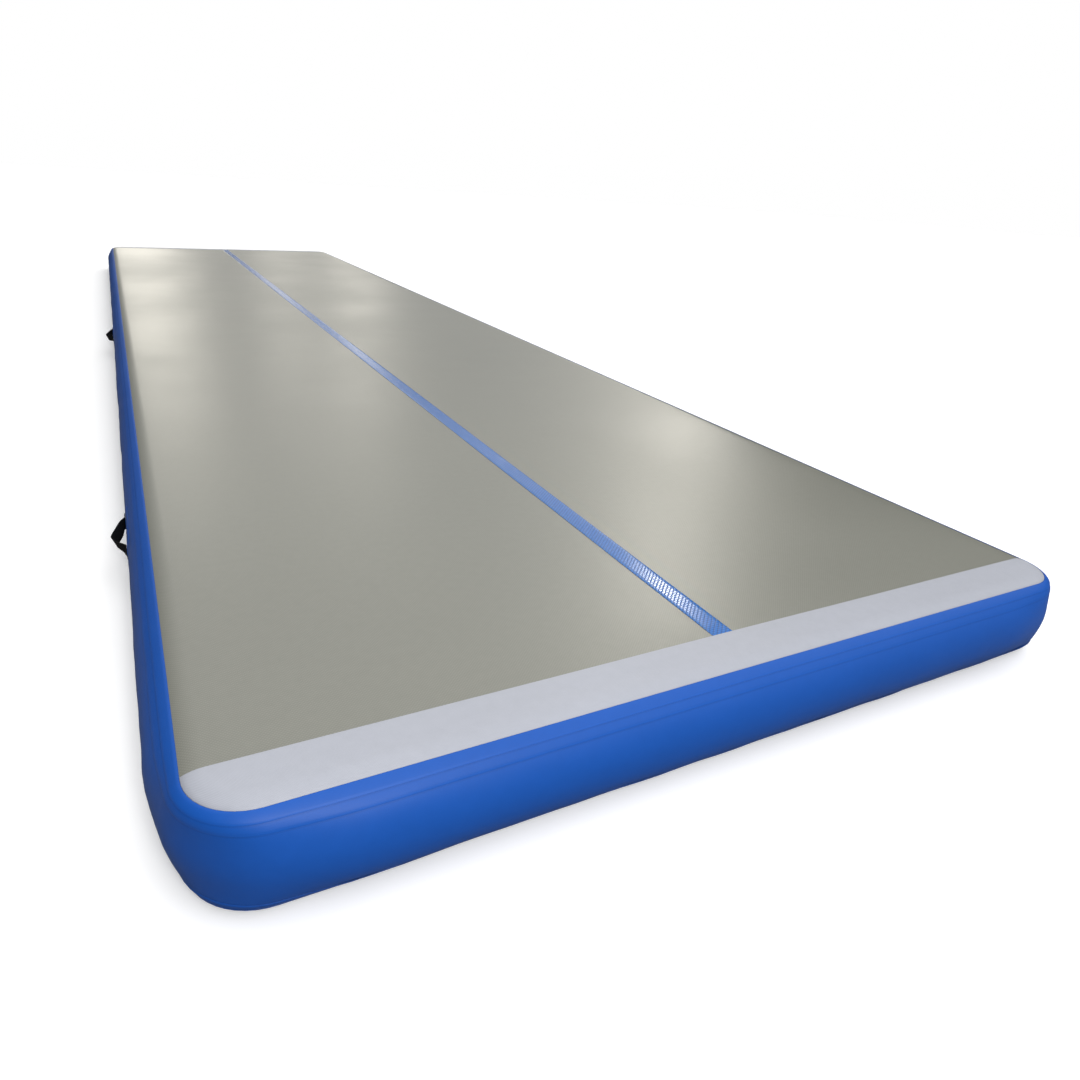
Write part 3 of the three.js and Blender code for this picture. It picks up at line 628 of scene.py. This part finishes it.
def material(name, color, roughness, pattern, depth, **look):
    """A finish with its own relief. look may set metallic, specular, fade (painted shade: how much the
    relief's hollows darken), drift (slow colour change), sheen, place ('UV' or 'Object') and marks
    (painted shadow and highlight lines beside the tape edges)."""
    made = bpy.data.materials.new(name)
    made.use_nodes = True
    g = Graph(made.node_tree)
    shader = made.node_tree.nodes["Principled BSDF"]
    coordinates = g.node("TexCoord").outputs
    where = coordinates[look.get("place", "UV")]
    spot = coordinates["Object"]
    height = pattern(g, where)
    slow = g.noise(spot, DRIFT_SCALE, 3.0)
    fine = g.noise(where, GRAIN_SCALE, 4.0)
    drift = look.get("drift", 0.05)
    shade = g.fit(slow, 0.3, 0.7, 1 - drift, 1 + drift)
    shade = g.math("MULTIPLY", shade, g.fit(fine, 0.2, 0.8, 1 - GRAIN_SHADE, 1 + GRAIN_SHADE))
    # Painted shade: the relief's hollows are darkened.
    shade = g.math("MULTIPLY", shade, g.fit(height, 0.0, 1.0, 1 - look.get("fade", 0.1), 1.0))
    gloss = g.fit(slow, 0.35, 0.65, roughness - GLOSS_CHANGE, roughness + GLOSS_CHANGE)
    # Painted shade and light: a shadow line under each tape edge darkens the colour, a highlight line
    # above it lightens it.
    if look.get("marks"):
        dark, pale = painted_seam_light(g, where)
        shade = g.math("MULTIPLY", shade, g.math("MULTIPLY_ADD", dark, PAINTED_SHADOW_SHADE, 1.0))
        shade = g.math("MULTIPLY", shade, g.math("MULTIPLY_ADD", pale, PAINTED_HIGHLIGHT_GAIN, 1.0))
    tint = g.node("RGB")
    tint.outputs[0].default_value = (*color, 1.0)
    colored = g.vector("SCALE", tint.outputs[0])
    g.feed(colored.node.inputs["Scale"], shade)
    g.feed(shader.inputs["Base Color"], colored)
    g.feed(shader.inputs["Roughness"], gloss)
    g.feed(shader.inputs["Metallic"], look.get("metallic", 0.0))
    g.feed(shader.inputs["Specular IOR Level"], look.get("specular", 0.5))
    g.feed(shader.inputs["Sheen Weight"], look.get("sheen", 0.0))
    bump = g.node("Bump", {"Height": height, "Distance": depth, "Strength": 1.0})
    g.feed(shader.inputs["Normal"], bump.outputs["Normal"])
    return made


# The fade given to a finish below sets the painted shade in the hollows of its relief.
GREY = material(
    "grey_pvc", (0.204, 0.206, 0.176), 0.33, diamonds(0.0062), 0.00009, fade=0.2, drift=0.03
)
# The blue wall and rail tape finishes carry the painted shadow and highlight lines beside the tape
# edges.
BLUE = material(
    "blue_pvc", (0.008, 0.084, 0.400), 0.42, speckle(900.0), 0.00012,
    specular=0.22, marks=True, drift=0.06
)
RAIL_BLUE = material(
    "rail_pvc", (0.009, 0.086, 0.405), 0.42, speckle(900.0), 0.00012,
    specular=0.22, marks=True, drift=0.05
)
BAND = material(
    "pale_pvc", (0.365, 0.38, 0.43), 0.5, linen(0.0032), 0.00016, fade=0.14, specular=0.5
)
STRIP = material(
    "strip_pvc", (0.024, 0.145, 0.47), 0.12, diamonds(0.011, 0.48), 0.0004, fade=0.6, specular=0.4
)
BASE = material("base_pvc", (0.22, 0.24, 0.27), 0.6, linen(0.002), 0.00015, specular=0.3)
INNER = material("inner_pvc", (0.56, 0.58, 0.6), 0.6, linen(0.002), 0.0001)
WEBBING = material(
    "webbing", (0.006, 0.006, 0.008), 0.8, webbing_weave(0.0016), 0.0004,
    fade=0.5, specular=0.15, drift=0.1
)
THREAD = material(
    "thread", (0.03, 0.03, 0.034), 0.7, speckle(2500.0), 0.0001, fade=0.2, place="Object", sheen=0.2
)
YARN = material("yarn", (0.78, 0.76, 0.70), 0.9, speckle(1500.0), 0.0002, place="Object", sheen=0.3)
VALVE_GREY = material("valve_grey", (0.09, 0.1, 0.11), 0.45, speckle(1800.0), 0.00006, place="Object")
VALVE_BLACK = material(
    "valve_black", (0.014, 0.014, 0.016), 0.42, speckle(1800.0), 0.00008, place="Object"
)
RUBBER = material("rubber", (0.012, 0.012, 0.012), 0.75, speckle(1200.0), 0.0001, place="Object")
BLUE_PATCH = material(
    "patch_pvc", (0.013, 0.09, 0.42), 0.42, speckle(900.0), 0.00012, specular=0.15, place="Object"
)
STEEL = material(
    "spring_steel", (0.6, 0.6, 0.62), 0.28, speckle(2200.0), 0.00003, place="Object", metallic=1.0
)

# ---- fabric shell


def settle(piece, body, slot, *gone):
    """Puts a piece on its body in place of CAD nodes, and hides those nodes. slot is not used."""
    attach(piece, body)
    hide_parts(*gone)


def applied(holder):
    """An object's mesh as its modifiers or its bevel leave it."""
    bpy.context.view_layer.update()
    shown = holder.evaluated_get(bpy.context.evaluated_depsgraph_get())
    return bpy.data.meshes.new_from_object(shown)


def outward(name, vertices, faces):
    """A mesh with every face turned to look out."""
    mesh = bpy.data.meshes.new(name)
    mesh.from_pydata(vertices, [], faces)
    made = bmesh.new()
    made.from_mesh(mesh)
    bmesh.ops.recalc_face_normals(made, faces=made.faces)
    made.to_mesh(mesh)
    return mesh


def slot_of(finish):
    """The record's slot for a finish. Blender numbers a name that the frame's materials already use."""
    return finish.name.split(".")[0]


def flattens(piece):
    """Gives the piece its own copy of its mesh."""
    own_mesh(piece)


def fabric(name, skin, outer, thickness, finish, body, anchor, node, **edge):
    piece = layer(name, skin, outer, thickness, finish, **edge)
    settle(piece, body, slot_of(finish), node)
    flattens(piece)


def cut_hole(piece, radius):
    """A round hole through the far end wall, where the valve goes."""
    cutter_mesh = bpy.data.meshes.new("cutter")
    shape = bmesh.new()
    bmesh.ops.create_cone(
        shape, cap_ends=True, segments=96, radius1=radius, radius2=radius, depth=2 * CORNER
    )
    shape.to_mesh(cutter_mesh)
    cutter = bpy.data.objects.new("cutter", cutter_mesh)
    cutter.rotation_euler = (math.pi / 2, 0, 0)
    cutter.location = VALVE
    bpy.context.scene.collection.objects.link(cutter)
    modifier = piece.modifiers.new("hole", "BOOLEAN")
    modifier.operation, modifier.object, modifier.solver = "DIFFERENCE", cutter, "EXACT"
    cut = applied(piece)
    piece.modifiers.clear()
    piece.data = cut
    bpy.data.objects.remove(cutter)


ON_FLOOR, ON_TOP = 0.0, TOP

lid = lid_skin(PANEL_LIP)
fabric("top_panel_sheet", lid, 0.0, SHEET, GREY, "top_skin", ON_TOP, "top_panel")
plain_lid = upside_down(lid_skin(PANEL_LIP, rippled=False))
fabric("bottom_panel_sheet", plain_lid, 0.0, SHEET, BASE, "base", ON_FLOOR, "bottom_panel")

band_lid = lid_skin(BAND_END)
for end, sign in (("near", -1), ("far", 1)):
    band_skin = band_lid.keep(lambda centre, sign=sign: centre[1] * sign > BAND_EDGE)
    node = f"{end}_end_band"
    fabric(
        f"{node}_sheet", band_skin, GLUE + TAPE, TAPE, BAND, "top_skin", ON_TOP, node, seal=TAPE_SEAL
    )


def finish_wall(name, skin, outer, thickness, finish, node):
    """A side wall, with the hole for the valve."""
    piece = layer(name, skin, outer, thickness, finish)
    cut_hole(piece, PAD_RADIUS + GLUE)
    settle(piece, "base", slot_of(finish), node)
    flattens(piece)


wall = wall_skin(WALL_START, math.pi - WALL_START)
finish_wall("outer_wall_sheet", wall, 0.0, SHEET, BLUE, "outer_side_wall")
lining = wall_skin(INNER_WALL_START, math.pi - INNER_WALL_START)
finish_wall("inner_wall_sheet", lining, LINING_LIFT, SHEET, INNER, "inner_side_wall")

FEATHERED = {"round_edge": TAPE_DIP, "seal": TAPE_SEAL}
for tape, end, level, finish in (
    ("seam_tape", SEAM_TAPE_END, 1, BLUE),
    ("rail_tape", RAIL_TAPE_END, 2, RAIL_BLUE),
):
    tape_skin = wall_skin(TAPE_START, end, TAPE_FEATHER)
    lift = level * (GLUE + TAPE)
    for level_name, skin in (("top", tape_skin), ("bottom", upside_down(tape_skin))):
        node = f"{level_name}_{tape}"
        fabric(f"{node}_sheet", skin, lift, TAPE, finish, "base", ON_FLOOR, node, **FEATHERED)


STRIP_INSET = 0.0008


def strip_skin():
    """The middle of the top, between the bands."""
    low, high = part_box("centre_line_strip")
    inner = np.linspace(low.x, high.x, 7)[1:-1]
    across = np.array([low.x, low.x + STRIP_INSET, *inner, high.x - STRIP_INSET, high.x])
    along = plan.side[(plan.side > low.y) & (plan.side < high.y)]
    along = np.concatenate([[low.y, low.y + STRIP_INSET], along, [high.y - STRIP_INSET, high.y]])
    grid = np.zeros((len(along), len(across), 3))
    grid[..., 0], grid[..., 1], grid[..., 2] = across[None], along[:, None], TOP
    points = grid.reshape(-1, 3)
    normals = np.broadcast_to([0.0, 0.0, 1.0], points.shape)
    faces = [f[::-1] for f in band_faces(len(along), len(across), False)]
    moved = relief(points, normals, np.zeros(len(points)), np.zeros(len(points)))
    return Skin(moved, normals, points[:, :2], faces)


fabric(
    "centre_line_sheet", strip_skin(), GLUE + TAPE, TAPE, STRIP, "top_skin", ON_TOP,
    "centre_line_strip", seal=TAPE_SEAL,
)

YARN_ROWS = 8
YARN_TURNS = 93
YARN_RADIUS = 0.0009


def yarn_row(number):
    """One row of drop-stitch yarn, zigzagging between the panels."""
    node = f"drop_stitch_row_{number}"
    low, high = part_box(node)
    x = np.linspace(low.x, high.x, YARN_TURNS)
    z = np.where(np.arange(YARN_TURNS) % 2, high.z, low.z)
    curve = bpy.data.curves.new(f"{node}_thread", "CURVE")
    curve.dimensions = "3D"
    curve.bevel_depth = YARN_RADIUS
    curve.bevel_resolution = 1
    curve.use_fill_caps = True
    spline = curve.splines.new("POLY")
    spline.points.add(YARN_TURNS - 1)
    y = (low.y + high.y) / 2
    for point, at_x, at_z in zip(spline.points, x, z):
        point.co = (at_x, y, at_z, 1)
    holder = bpy.data.objects.new("thread_curve", curve)
    bpy.context.scene.collection.objects.link(holder)
    mesh = applied(holder)
    bpy.data.objects.remove(holder)
    piece = link(mesh, f"{node}_thread", YARN, 60)
    settle(piece, "base", "yarn", node)
    flattens(piece)


for number in range(1, YARN_ROWS + 1):
    yarn_row(number)

# ---- handles

HINGE_OUT = HALF_X
STRAP_THICK = 0.0016
strap_low, strap_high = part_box("webbing_end_a_near_right")
STRAP_HALF_WIDTH = (strap_high.z - strap_low.z) / 2
STRAP_REACH = 0.118
ARCH_HALF = 0.092
ARCH_DEPTH = 0.033
ARCH_TIP_SOFTNESS = 0.009
LOOP_DROOP = math.radians(20)
BEND_START, BEND_END = 0.092, 0.046
ON_PATCH = 2 * GLUE + TAPE + STRAP_THICK / 2

# Where a strap lifts off its patch, how softly its arch meets the wall, and its grid and edges.
STRAP_LIFTS, STRAP_LIES = 0.078, 0.098
ARCH_FOOT_SOFTNESS = 0.05
STRAP_STOPS = 49
STRAP_RIM = 0.0012
STRAP_EDGE_DIP = 0.0003

# The patch: its corner radius, the shares of it at which its rings lie, and its weld line as a share
# of it, a half width and a depth.
PATCH_CORNER = 0.022
PATCH_RINGS = np.array([0.2, 0.4, 0.6, 0.75, 0.86, 0.90, 0.93, 0.96, 0.985, 1.0])
WELD_AT, WELD_HALF, WELD_DEPTH = 0.93, 0.014, 0.0003
PATCH_THICK = GLUE + TAPE - 0.0001

# Stitches: their spacing and half length, half width and height, how deep they sit, and the sewn box
# along the strap and in from its edges.
STITCH_PITCH = 0.0034
STITCH_LONG, STITCH_WIDE, STITCH_HIGH = 0.0013, 0.00045, 0.0004
STITCH_SUNK = 0.0002
SEWN_FROM, SEWN_TO, SEWN_INSET = 0.096, 0.1145, 0.0042


def place_of(name):
    """A handle's side (+1 right, -1 left) and its place along the track, from its patch."""
    low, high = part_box(f"handle_patch_{name}")
    return math.copysign(1, low.x), (low.y + high.y) / 2


def on_wall(side, y, down):
    """Skin points, normals and fabric places on a long wall at y, a distance down from mid height."""
    y, down = np.broadcast_arrays(np.asarray(y, float), np.asarray(down, float))
    angle = np.interp(down + arc(math.pi / 2), ARC_LENGTHS, ARC_ANGLES)
    out, up, normal = profile(angle)
    points = np.stack([side * (IN_X + out), y, up], -1)
    normals = np.stack([side * normal[..., 0], np.zeros_like(y), normal[..., 1]], -1)
    run = y + IN_Y if side > 0 else IN_Y - y + WALL_RUN[2]
    return relief(points, normals, run, angle), normals, np.stack([side * y, down], -1)


def patch_skin(name):
    """A rounded rectangle of wall, in rings out from its middle, and how far out each point is."""
    side, middle = place_of(name)
    low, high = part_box(f"handle_patch_{name}")
    half_long = (high.y - low.y) / 2
    half_tall = float(arc(math.pi / 2) - arc(angle_at(high.z, GLUE + TAPE)))
    corner = PATCH_CORNER
    outline = []
    for k, (sx, sy) in enumerate([(1, 1), (-1, 1), (-1, -1), (1, -1)]):
        for turn in np.linspace(0, math.pi / 2, 9):
            a = turn + k * math.pi / 2
            x = sx * (half_long - corner) + corner * math.cos(a)
            outline.append((x, sy * (half_tall - corner) + corner * math.sin(a)))
        start = np.array(outline[-1])
        goal = start * ([-1, 1] if k % 2 == 0 else [1, -1])
        for share in np.linspace(0, 1, 12)[1:-1]:
            outline.append(tuple(start * (1 - share) + goal * share))
    outline = np.array(outline)
    rings = outline[None] * PATCH_RINGS[:, None, None]
    flat = np.concatenate([[[0, 0]], rings.reshape(-1, 2)])
    points, normals, uv = on_wall(side, middle + side * flat[:, 0], -flat[:, 1])
    count = len(outline)
    faces = [[0, 1 + i, 1 + (i + 1) % count] for i in range(count)]
    faces += [[i + 1 for i in f] for f in band_faces(len(PATCH_RINGS), count, True)]
    level = np.concatenate([[0], np.repeat(PATCH_RINGS, count)])
    return Skin(points, normals, uv, faces), level


def strap_points(side, middle, a, b):
    """Middle surface of a strap: a runs along it from the handle's centre, b down across it."""
    a, b = np.broadcast_arrays(np.asarray(a, float), np.asarray(b, float))
    skin, normals, _ = on_wall(side, middle + a, b)
    laid = skin + normals * ON_PATCH
    tent = 1 - np.sqrt(a * a + ARCH_TIP_SOFTNESS**2) / ARCH_HALF
    out = ON_PATCH + ARCH_DEPTH * 0.5 * (tent + np.sqrt(tent * tent + ARCH_FOOT_SOFTNESS**2))
    turn = LOOP_DROOP * smooth_step(-np.abs(a), -BEND_START, -BEND_END)
    free = np.stack(
        [
            side * (HINGE_OUT + out * np.cos(turn) - b * np.sin(turn)),
            middle + a,
            MID - b * np.cos(turn) - out * np.sin(turn),
        ],
        -1,
    )
    lies = smooth_step(np.abs(a), STRAP_LIFTS, STRAP_LIES)[..., None]
    return laid * lies + free * (1 - lies)


def strap_frame(side, middle, a, b):
    """Strap points and the way its outer face looks, by small steps along and across."""
    step = 1e-4
    here = strap_points(side, middle, a, b)
    along = strap_points(side, middle, a + step, b) - here
    across = strap_points(side, middle, a, b + step) - here
    face = np.cross(across, along) * side
    return here, face / np.linalg.norm(face, axis=-1, keepdims=True)


def strap_skin(side, middle, from_a, to_a):
    """One half of a strap, from one distance along it to another."""
    rim = STRAP_HALF_WIDTH - STRAP_RIM
    middle_part = 0.7 * STRAP_HALF_WIDTH
    across = np.linspace(-middle_part, middle_part, 7)
    across = np.array([-STRAP_HALF_WIDTH, -rim, *across, rim, STRAP_HALF_WIDTH])
    along = np.linspace(from_a, to_a, STRAP_STOPS)
    a, b = np.meshgrid(along, across, indexing="ij")
    points, normals = strap_frame(side, middle, a, b)
    faces = band_faces(len(along), len(across), False)
    first = faces[0]
    flat = points.reshape(-1, 3)
    way = np.cross(flat[first[1]] - flat[first[0]], flat[first[2]] - flat[first[1]])
    if way @ normals.reshape(-1, 3)[first[0]] < 0:
        faces = [f[::-1] for f in faces]
    return Skin(points, normals, np.stack([a, b], -1), faces)


def stitch_path(from_a, to_a, half):
    """A sewn box with a cross in it, as stitch centres and ways on the strap."""
    corners = [(from_a, -half), (to_a, -half), (to_a, half), (from_a, half)]
    lines = [(corners[i], corners[(i + 1) % 4]) for i in range(4)]
    lines += [(corners[0], corners[2]), (corners[1], corners[3])]
    found = []
    for start, goal in lines:
        start, goal = np.array(start), np.array(goal)
        length = np.linalg.norm(goal - start)
        count = round(length / STITCH_PITCH)
        for i in range(count):
            found.append((start + (goal - start) * (i + 0.5) / count, (goal - start) / length))
    return found


def stitching(name, side, middle):
    """Thread laid along both sewn ends of a strap: one small raised lozenge a stitch."""
    vertices, faces = [], []
    for sign in (-1, 1):
        for centre, way in stitch_path(SEWN_FROM * sign, SEWN_TO * sign, STRAP_HALF_WIDTH - SEWN_INSET):
            ahead = way * STITCH_LONG
            beside = np.array([-way[1], way[0]]) * STITCH_WIDE
            spots = np.array([centre - ahead, centre + beside, centre + ahead, centre - beside, centre])
            here, face = strap_frame(side, middle, spots[:, 0], spots[:, 1])
            lifts = np.array([0.0, 0.1, 0.0, 0.1, 1.0]) * STITCH_HIGH + STRAP_THICK / 2
            raised = here + face * lifts[:, None]
            below = here[4] + face[4] * (STRAP_THICK / 2 - STITCH_SUNK)
            base = len(vertices)
            vertices += raised.tolist() + [below.tolist()]
            for p in range(4):
                q = (p + 1) % 4
                faces += [[base + p, base + q, base + 4], [base + q, base + p, base + 5]]
    label = f"handle_stitching_{name}"
    piece = link(outward(label, vertices, faces), label, THREAD, 60)
    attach(piece, "side_fittings")


def add_handle(name):
    """A patch on the wall, a strap in two halves that bend where the loop swings, and its stitches."""
    side, middle = place_of(name)
    skin, level = patch_skin(name)
    weld = np.exp(-(((level - WELD_AT) / WELD_HALF) ** 2))
    lift = GLUE + TAPE - WELD_DEPTH * weld
    patch = layer(f"handle_patch_{name}_sheet", skin, lift, PATCH_THICK, BLUE_PATCH)
    settle(patch, "side_fittings", "blue_pvc", f"handle_patch_{name}")
    flattens(patch)

    halves = (("a", 1, ("webbing_end_a", "webbing_loop")), ("b", -1, ("webbing_end_b",)))
    for half, sign, gone in halves:
        strap = strap_skin(side, middle, 0.0, sign * STRAP_REACH)
        strap_piece = layer(
            f"strap_{half}_{name}", strap, STRAP_THICK / 2, STRAP_THICK, WEBBING, STRAP_EDGE_DIP
        )
        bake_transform(strap_piece)
        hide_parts(*(f"{kind}_{name}" for kind in gone))
    stitching(name, side, middle)


for place in ("near", "mid"):
    for side_name in ("left", "right"):
        add_handle(f"{place}_{side_name}")

# ---- valve


ROUND_STEPS = 96


def lathe(name, outline, finish):
    """A turned piece about the valve's axis, from a closed outline of (radius, distance out)."""
    vertices, faces = [], []
    count = len(outline)
    for i in range(ROUND_STEPS):
        turn = 2 * math.pi * i / ROUND_STEPS
        for radius, out in outline:
            vertices.append(
                (VALVE.x + radius * math.cos(turn), VALVE.y + out, VALVE.z + radius * math.sin(turn))
            )
        for j in range(count):
            here, after = i * count, (i + 1) % ROUND_STEPS * count
            faces.append([here + j, after + j, after + (j + 1) % count, here + (j + 1) % count])
    return link(outward(name, vertices, faces), name, finish, 35)


def mm(*points):
    """Outline points given in millimetres."""
    return [(radius / 1000, out / 1000) for radius, out in points]


# The cuff round the valve, in millimetres: its radius, the hole in it, and its face, weld groove, back
# and the end of its sleeve as distances out from the wall's outermost line.
CUFF_R = PAD_RADIUS * 1000
CUFF_HOLE_R = 22.6
CUFF_FACE, CUFF_WELD, CUFF_BACK, CUFF_END = 1.5, 1.2, -0.6, -30
SLEEVE_R = CUFF_R - 1.2
pad = lathe(
    "valve_pad_cuff",
    mm(
        (CUFF_HOLE_R, CUFF_FACE),
        (26, CUFF_FACE),
        (26.6, CUFF_WELD),
        (32.4, CUFF_WELD),
        (33, CUFF_FACE),
        (CUFF_R - 1.6, CUFF_FACE),
        (CUFF_R - 0.6, 1.1),
        (CUFF_R, 0.2),
        (CUFF_R, CUFF_END),
        (SLEEVE_R, CUFF_END),
        (SLEEVE_R, CUFF_BACK),
        (CUFF_HOLE_R, CUFF_BACK),
    ),
    BLUE_PATCH,
)
settle(pad, "side_fittings", "blue_pvc", "valve_pad")


SHARP_ANGLE = math.radians(32)


def refined(node, finish, bevel, slot):
    """A CAD piece with its edges rounded and its round faces shaded smooth."""
    made = bmesh.new()
    made.from_mesh(nodes[node].data)
    bmesh.ops.remove_doubles(made, verts=made.verts, dist=1e-6)
    bmesh.ops.dissolve_limit(made, angle_limit=math.radians(1), verts=made.verts, edges=made.edges)
    sharp = [e for e in made.edges if len(e.link_faces) == 2 and e.calc_face_angle() > SHARP_ANGLE]
    if bevel:
        bmesh.ops.bevel(
            made, geom=sharp, offset=bevel, segments=2, profile=0.5, affect="EDGES", clamp_overlap=True
        )
    mesh = bpy.data.meshes.new(f"{node}_moulded")
    made.to_mesh(mesh)
    piece = link(mesh, f"{node}_moulded", finish, 38)
    bodies = frame["record"]["behaviour"]["bodies"]
    settle(piece, next(body for body, members in bodies.items() if node in members), slot, node)
    return piece


for node, finish, bevel, slot in (
    ("valve_housing", VALVE_GREY, 0.0004, "valve_grey"),
    ("valve_back_nut", VALVE_GREY, 0.0004, "valve_grey"),
    ("valve_gasket", RUBBER, 0.0, "rubber"),
    ("valve_plunger", VALVE_BLACK, 0.0003, "valve_black"),
    ("valve_diaphragm", RUBBER, 0.0002, "rubber"),
    ("spring_retainer", STEEL, 0.0002, "spring_steel"),
    ("valve_cap", VALVE_BLACK, 0.0005, "valve_black"),
    ("cap_seal", RUBBER, 0.0002, "rubber"),
    ("cap_tether", VALVE_BLACK, 0.0004, "valve_black"),
):
    refined(node, finish, bevel, slot)

spring = refined("valve_spring", STEEL, 0.0, "spring_steel")
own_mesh(spring)

# ---- floor, light and camera

FLOOR_REACH, FLOOR_HEIGHT = 60.0, -0.0006
FLOOR_SEEN, FLOOR_BOUNCE, FLOOR_LIFT = 0.95, 0.19, 0.14

floor_mesh = bpy.data.meshes.new("studio_floor")
floor_corners = [
    (x * FLOOR_REACH, y * FLOOR_REACH, FLOOR_HEIGHT) for x, y in ((-1, -1), (1, -1), (1, 1), (-1, 1))
]
floor_mesh.from_pydata(floor_corners, [], [(0, 1, 2, 3)])


def floor_finish():
    """Pale to the camera, and dimmer to the object, so that little light comes up from below."""
    made = bpy.data.materials.new("studio_floor")
    made.use_nodes = True
    g = Graph(made.node_tree)
    cloud = g.noise(g.node("TexCoord").outputs["Object"], 0.7)
    pale = g.fit(cloud, 0.3, 0.7, FLOOR_SEEN - 0.01, FLOOR_SEEN + 0.01)
    seen = g.node("LightPath").outputs["Is Camera Ray"]
    mix = g.node("Mix", {"Factor": seen, "A": FLOOR_BOUNCE, "B": pale}, data_type="FLOAT")
    shown = mix.outputs["Result"]
    color = g.node("CombineColor", {"Red": shown, "Green": shown, "Blue": shown})
    shader = made.node_tree.nodes["Principled BSDF"]
    g.feed(shader.inputs["Base Color"], color.outputs["Color"])
    g.feed(shader.inputs["Roughness"], 0.9)
    g.feed(shader.inputs["Specular IOR Level"], 0.0)
    g.feed(shader.inputs["Emission Color"], (1.0, 1.0, 1.0, 1.0))
    g.feed(shader.inputs["Emission Strength"], g.math("MULTIPLY", seen, FLOOR_LIFT))
    return made


floor = link(floor_mesh, "studio_floor", floor_finish())

# All angles here are in degrees. The room's light, as (elevation, brightness).
ROOM = [(0, 0.36), (10, 0.5), (18, 0.85), (32, 1.4), (60, 1.75), (90, 2.2)]

# Bright and dark upright panels in the room, each as (azimuth from +Y towards +X, half widths before
# and after it, lowest and highest elevation, strength).
PANELS = [
    (1.4, 3.0, 2.4, 0, 19, 3.3),
    (9.6, 1.6, 1.8, 0, 18, 1.4),
    (14.8, 1.6, 1.9, 3, 22, 2.4),
    (40.2, 2.6, 1.2, 11, 30, 3.4),
    (40.0, 2.4, 2.6, 24, 32, 18.0),
    (39.0, 8.0, 2.0, 9, 24, 1.2),
    (-90, 65, 65, -20, 80, -1.6),
]

# A dark part of the room: its azimuths, how it fades at both, the elevations over which it ends, and
# its depth. LEAST is the light left in the darkest place.
DARK_FROM, DARK_TO = 43.0, 135.0
DARK_FADE_IN, DARK_FADE_OUT = 3, 25
DARK_LOW, DARK_HIGH, DARK_DEPTH = 23, 36, 0.95
LEAST = 0.03

KEY_PLACE, KEY_AIM, KEY_SIZE, KEY_POWER = (-0.9, -7.0, 2.9), (0.0, -3.6, 0.1), 1.6, 105.0

# What the camera sees behind the object, and the share of red, green and blue that the panels lack.
BACKDROP = 1.0
GLOW_LOST = (0.0, 0.05, 0.16)


def studio_light():
    """The world: the room's light, with its panels seen only in the object's surface."""
    world = bpy.data.worlds.new("studio")
    bpy.context.scene.world = world
    world.use_nodes = True
    g = Graph(world.node_tree)
    x, y, z = g.split(g.vector("NORMALIZE", g.node("TexCoord").outputs["Generated"]))
    azimuth = g.math("DEGREES", g.math("ARCTAN2", x, y))
    elevation = g.math("DEGREES", g.math("ARCSINE", z))
    light = ROOM[0][1]
    for (low, dim), (high, bright) in zip(ROOM, ROOM[1:]):
        light = g.math("ADD", light, g.fit(elevation, low, high, 0.0, bright - dim))
    glow = 0.0
    for middle, before, after, low, high, strength in PANELS:
        past = g.math("SUBTRACT", azimuth, middle)
        half = g.fit(past, -0.01, 0.01, before, after)
        away = g.math("DIVIDE", past, half)
        across = g.math("EXPONENT", g.math("MULTIPLY", g.math("MULTIPLY", away, away), -1.0))
        rise = g.fit(elevation, low, low + 4, smooth=True)
        fall = g.fit(elevation, high - 4, high + 4, 1.0, 0.0, smooth=True)
        upright = g.math("MULTIPLY", rise, fall)
        panel = g.math("MULTIPLY", g.math("MULTIPLY", across, upright), strength)
        light = g.math("ADD", light, panel)
        glow = g.math("ADD", glow, g.math("MAXIMUM", panel, 0.0))
    inside = g.math(
        "MULTIPLY",
        g.fit(azimuth, DARK_FROM, DARK_FROM + DARK_FADE_IN, smooth=True),
        g.fit(azimuth, DARK_TO - DARK_FADE_OUT, DARK_TO, 1.0, 0.0, smooth=True),
    )
    below = g.fit(elevation, DARK_LOW, DARK_HIGH, DARK_DEPTH, 0.0, smooth=True)
    flag = g.math("MULTIPLY", inside, below)
    light = g.math("MULTIPLY", light, g.math("SUBTRACT", 1.0, flag))
    light = g.math("MAXIMUM", light, LEAST)
    seen = g.node("LightPath").outputs["Is Camera Ray"]
    shares = []
    for name, lost in zip(("Red", "Green", "Blue"), GLOW_LOST):
        warm = g.math("SUBTRACT", light, g.math("MULTIPLY", glow, lost))
        pick = g.node("Mix", {"Factor": seen, "A": warm, "B": BACKDROP}, data_type="FLOAT")
        shares.append((name, pick.outputs["Result"]))
    color = g.node("CombineColor", dict(shares))
    background = world.node_tree.nodes["Background"]
    g.feed(background.inputs["Color"], color.outputs["Color"])
    g.feed(background.inputs["Strength"], 1.0)


def key_light():
    """One soft lamp over the near end."""
    lamp = bpy.data.lights.new("key", "AREA")
    lamp.energy, lamp.size = KEY_POWER, KEY_SIZE
    holder = bpy.data.objects.new("key", lamp)
    holder.location = KEY_PLACE
    holder.rotation_euler = (Vector(KEY_AIM) - Vector(KEY_PLACE)).to_track_quat("-Z", "Y").to_euler()
    bpy.context.scene.collection.objects.link(holder)


studio_light()
key_light()

# The photograph's viewpoint, fitted to the track's outline: place in metres, turn in radians, lens and
# sensor in millimetres.
CAMERA_PLACE = (-0.9639, -4.7891, 0.989)
CAMERA_TURN = (1.1305, -0.0635, -0.4794)
CAMERA_LENS, CAMERA_SENSOR = 25.094, 36
CAMERA_CLIP_END = 200

camera_data = bpy.data.cameras.new("camera")
camera_data.lens = CAMERA_LENS
camera_data.sensor_width = CAMERA_SENSOR
camera_data.clip_end = CAMERA_CLIP_END
camera = bpy.data.objects.new("camera", camera_data)
camera.location = CAMERA_PLACE
camera.rotation_euler = CAMERA_TURN
bpy.context.scene.collection.objects.link(camera)
bpy.context.scene.camera = camera
bpy.context.scene.view_settings.view_transform = "Standard"
